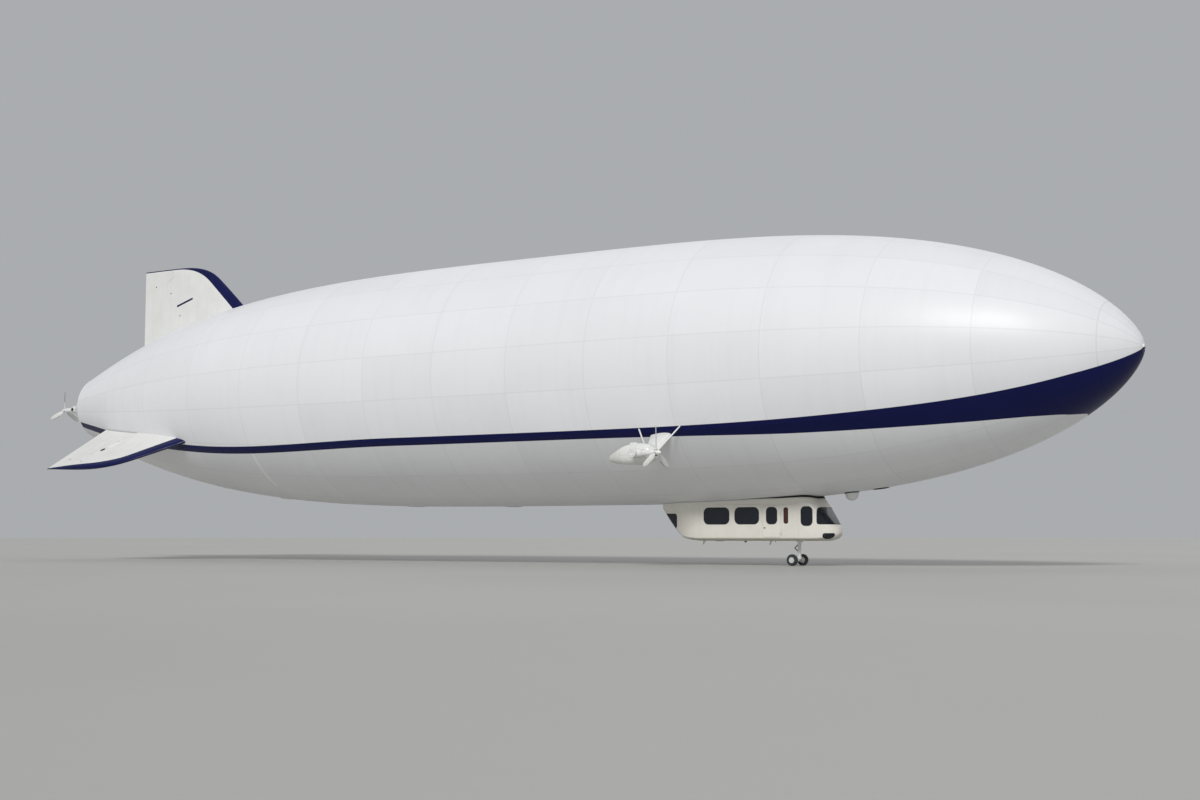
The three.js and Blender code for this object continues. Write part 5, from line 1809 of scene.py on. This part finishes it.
# Enamel on steel: glossy white, and dirtier over the last 0.3 m to the floor.
gear_paint, tree, shader, place = new_finish("gear_paint", Coat_Weight=0.2)
axes = add(tree, "SeparateXYZ", {0: place}).node.outputs
grime = add(tree, "TexNoise", {"Vector": place, "Scale": 16.0, "Detail": 6.0, "Roughness": 0.65})
near_floor = add(tree, "Math", {0: -4.78, 1: axes["Z"]}, operation="SUBTRACT")
near_floor = add(tree, "Math", {0: near_floor, 1: 0.3}, operation="DIVIDE", use_clamp=True)
splashed = add(tree, "Math", {0: near_floor, 1: grime}, operation="MULTIPLY")
tones = {0: splashed, 6: linear("#ECECEA"), 7: linear("#9C9A92")}
tree.links.new(add(tree, "Mix", tones, 2, data_type="RGBA"), shader.inputs["Base Color"])
rough = add(tree, "Math", {0: grime, 1: 0.25, 2: 0.22}, operation="MULTIPLY_ADD")
tree.links.new(rough, shader.inputs["Roughness"])

# Tyre rubber: blue-grey with dust, blacker where it is rubbed off.
tyre_rubber = mottled_finish(
    "tyre_rubber", ("#1C1F23", "#3D4249"), 28.0, 6.0, relief=(0.001, 0.4), Roughness=0.85
)

leg_station, axle_station = 8.940, 9.000
axle_height, wheel_across = -5.000, 0.300
leg_top = gondola_bottom - fit_gap
leg = turned(
    [
        (0, 0), (0.085, 0), (0.085, 0.016), (0.080, 0.022), (0.052, 0.024), (0.046, 0.030),
        (0.046, 0.20), (0.049, 0.204), (0.049, 0.226), (0.046, 0.230), (0.038, 0.232),
        (0.038, 0.334), (0.044, 0.338), (0.046, 0.344), (0.046, 0.3692), (0, 0.3692),
    ],
    48, at_station(0, leg_station, leg_top), (0, 0, -1),
)
bolt_profile = [(0, 0.018), (0.007, 0.018), (0.007, 0.029), (0, 0.029)]
bolts = []
for a in [math.radians(60 * k) for k in range(6)]:
    foot = at_station(0.068 * math.cos(a), leg_station + 0.068 * math.sin(a), leg_top)
    bolts.append(tinted(turned(bolt_profile, 6, foot, (0, 0, -1)), 1))
# Two pairs of links behind the leg, hinged to it and to each other at a knee further aft.
links = []
knee, link_aft, knee_aft = -4.690, 0.05, 0.085
for end in (-4.610, -4.780):
    for x in (-0.016, 0.010):
        low, high = sorted((end, knee))
        bar = rounded_box(
            at_station(x, leg_station - 0.014, low),
            at_station(x + 0.006, leg_station + 0.014, high), 0.0025, None, 2,
        )
        for vert in bar.verts:
            vert.co.y += link_aft + knee_aft * (vert.co.z - end) / (knee - end)
        links.append(tinted(bar, 1))
finished(
    "gear_strut", gathered(leg, *bolts, *links), [gear_paint, cast_metal], "hull",
    ["gear_leg"],
)

head = turned(
    [
        (0, 0.015), (0.040, 0.015), (0.048, 0.024), (0.048, 0.104), (0.045, 0.112), (0.040, 0.1192),
        (0, 0.1192),
    ],
    48, at_station(0, leg_station, axle_height), (0, 0, 1),
)
fork = rounded_box(
    at_station(-0.032, leg_station, axle_height - 0.020),
    at_station(0.032, axle_station, axle_height + 0.080), 0.010, None, 4,
)
tube_end = wheel_across - 0.055 - 0.008  # 8 mm short of the tyres
tube = turned(
    [
        (0, -tube_end), (0.038, -tube_end), (0.044, -tube_end + 0.006), (0.044, -tube_end + 0.03),
        (0.040, -tube_end + 0.036), (0.040, -0.06), (0.044, -0.05), (0.044, 0.05), (0.040, 0.06),
        (0.040, tube_end - 0.036), (0.044, tube_end - 0.03), (0.044, tube_end - 0.006),
        (0.038, tube_end), (0, tube_end),
    ],
    48, at_station(0, axle_station, axle_height), (1, 0, 0),
)
bore = turned(
    [(0, -0.4), (0.0257, -0.4), (0.0257, 0.4), (0, 0.4)], 48,
    at_station(0, axle_station, axle_height), (1, 0, 0),
)
caster = combine(combine(head, [fork, tube], "UNION"), [bore], "DIFFERENCE")
finished("caster_fork", caster, [gear_paint], "gear_caster", ["gear_caster"])

tyre_profile = [
    (0.068, -0.030), (0.074, -0.044), (0.088, -0.0535), (0.105, -0.055), (0.124, -0.052),
    (0.138, -0.044), (0.1455, -0.034), (0.1475, -0.029), (0.1485, -0.021), (0.146, -0.0205),
    (0.146, -0.0175), (0.1492, -0.017), (0.150, -0.0035), (0.1473, -0.003), (0.1473, 0.003),
    (0.150, 0.0035), (0.1492, 0.017), (0.146, 0.0175), (0.146, 0.0205), (0.1485, 0.021),
    (0.1475, 0.029), (0.1455, 0.034), (0.138, 0.044), (0.124, 0.052), (0.105, 0.055),
    (0.088, 0.0535), (0.074, 0.044), (0.068, 0.030),
]
hub_profile = [
    (0, -0.040), (0.045, -0.040), (0.050, -0.034), (0.062, -0.034), (0.071, -0.040),
    (0.072, -0.046), (0.076, -0.046), (0.0765, -0.036), (0.068, -0.029), (0.068, 0.029),
    (0.0765, 0.036), (0.076, 0.046), (0.072, 0.046), (0.070, 0.038), (0.058, 0.026),
    (0.034, 0.024), (0.030, 0.034), (0.026, 0.042), (0, 0.043),
]
axle = turned(
    [(0, -0.297), (0.025, -0.297), (0.025, 0.297), (0, 0.297)], 32,
    at_station(0, axle_station, axle_height), (1, 0, 0),
)
wheel_parts = [tinted(axle, 1)]
for side in (1, -1):
    middle = at_station(side * wheel_across, axle_station, axle_height)
    wheel_parts.append(turned(tyre_profile, 96, middle, (side, 0, 0), closed=True))
    wheel_parts.append(tinted(turned(hub_profile, 64, middle, (side, 0, 0)), 1))
    for k in range(6):
        a = math.radians(60 * k + 30)
        nut = turned(
            [(0, 0.020), (0.0055, 0.020), (0.0055, 0.031), (0, 0.032)], 6,
            middle + Vector((0, 0.046 * math.cos(a), 0.046 * math.sin(a))), (side, 0, 0),
        )
        wheel_parts.append(tinted(nut, 2))
finished(
    "wheels_and_tyres", gathered(*wheel_parts), [tyre_rubber, gear_paint, cast_metal],
    "twin_wheels", ["twin_wheels"],
)
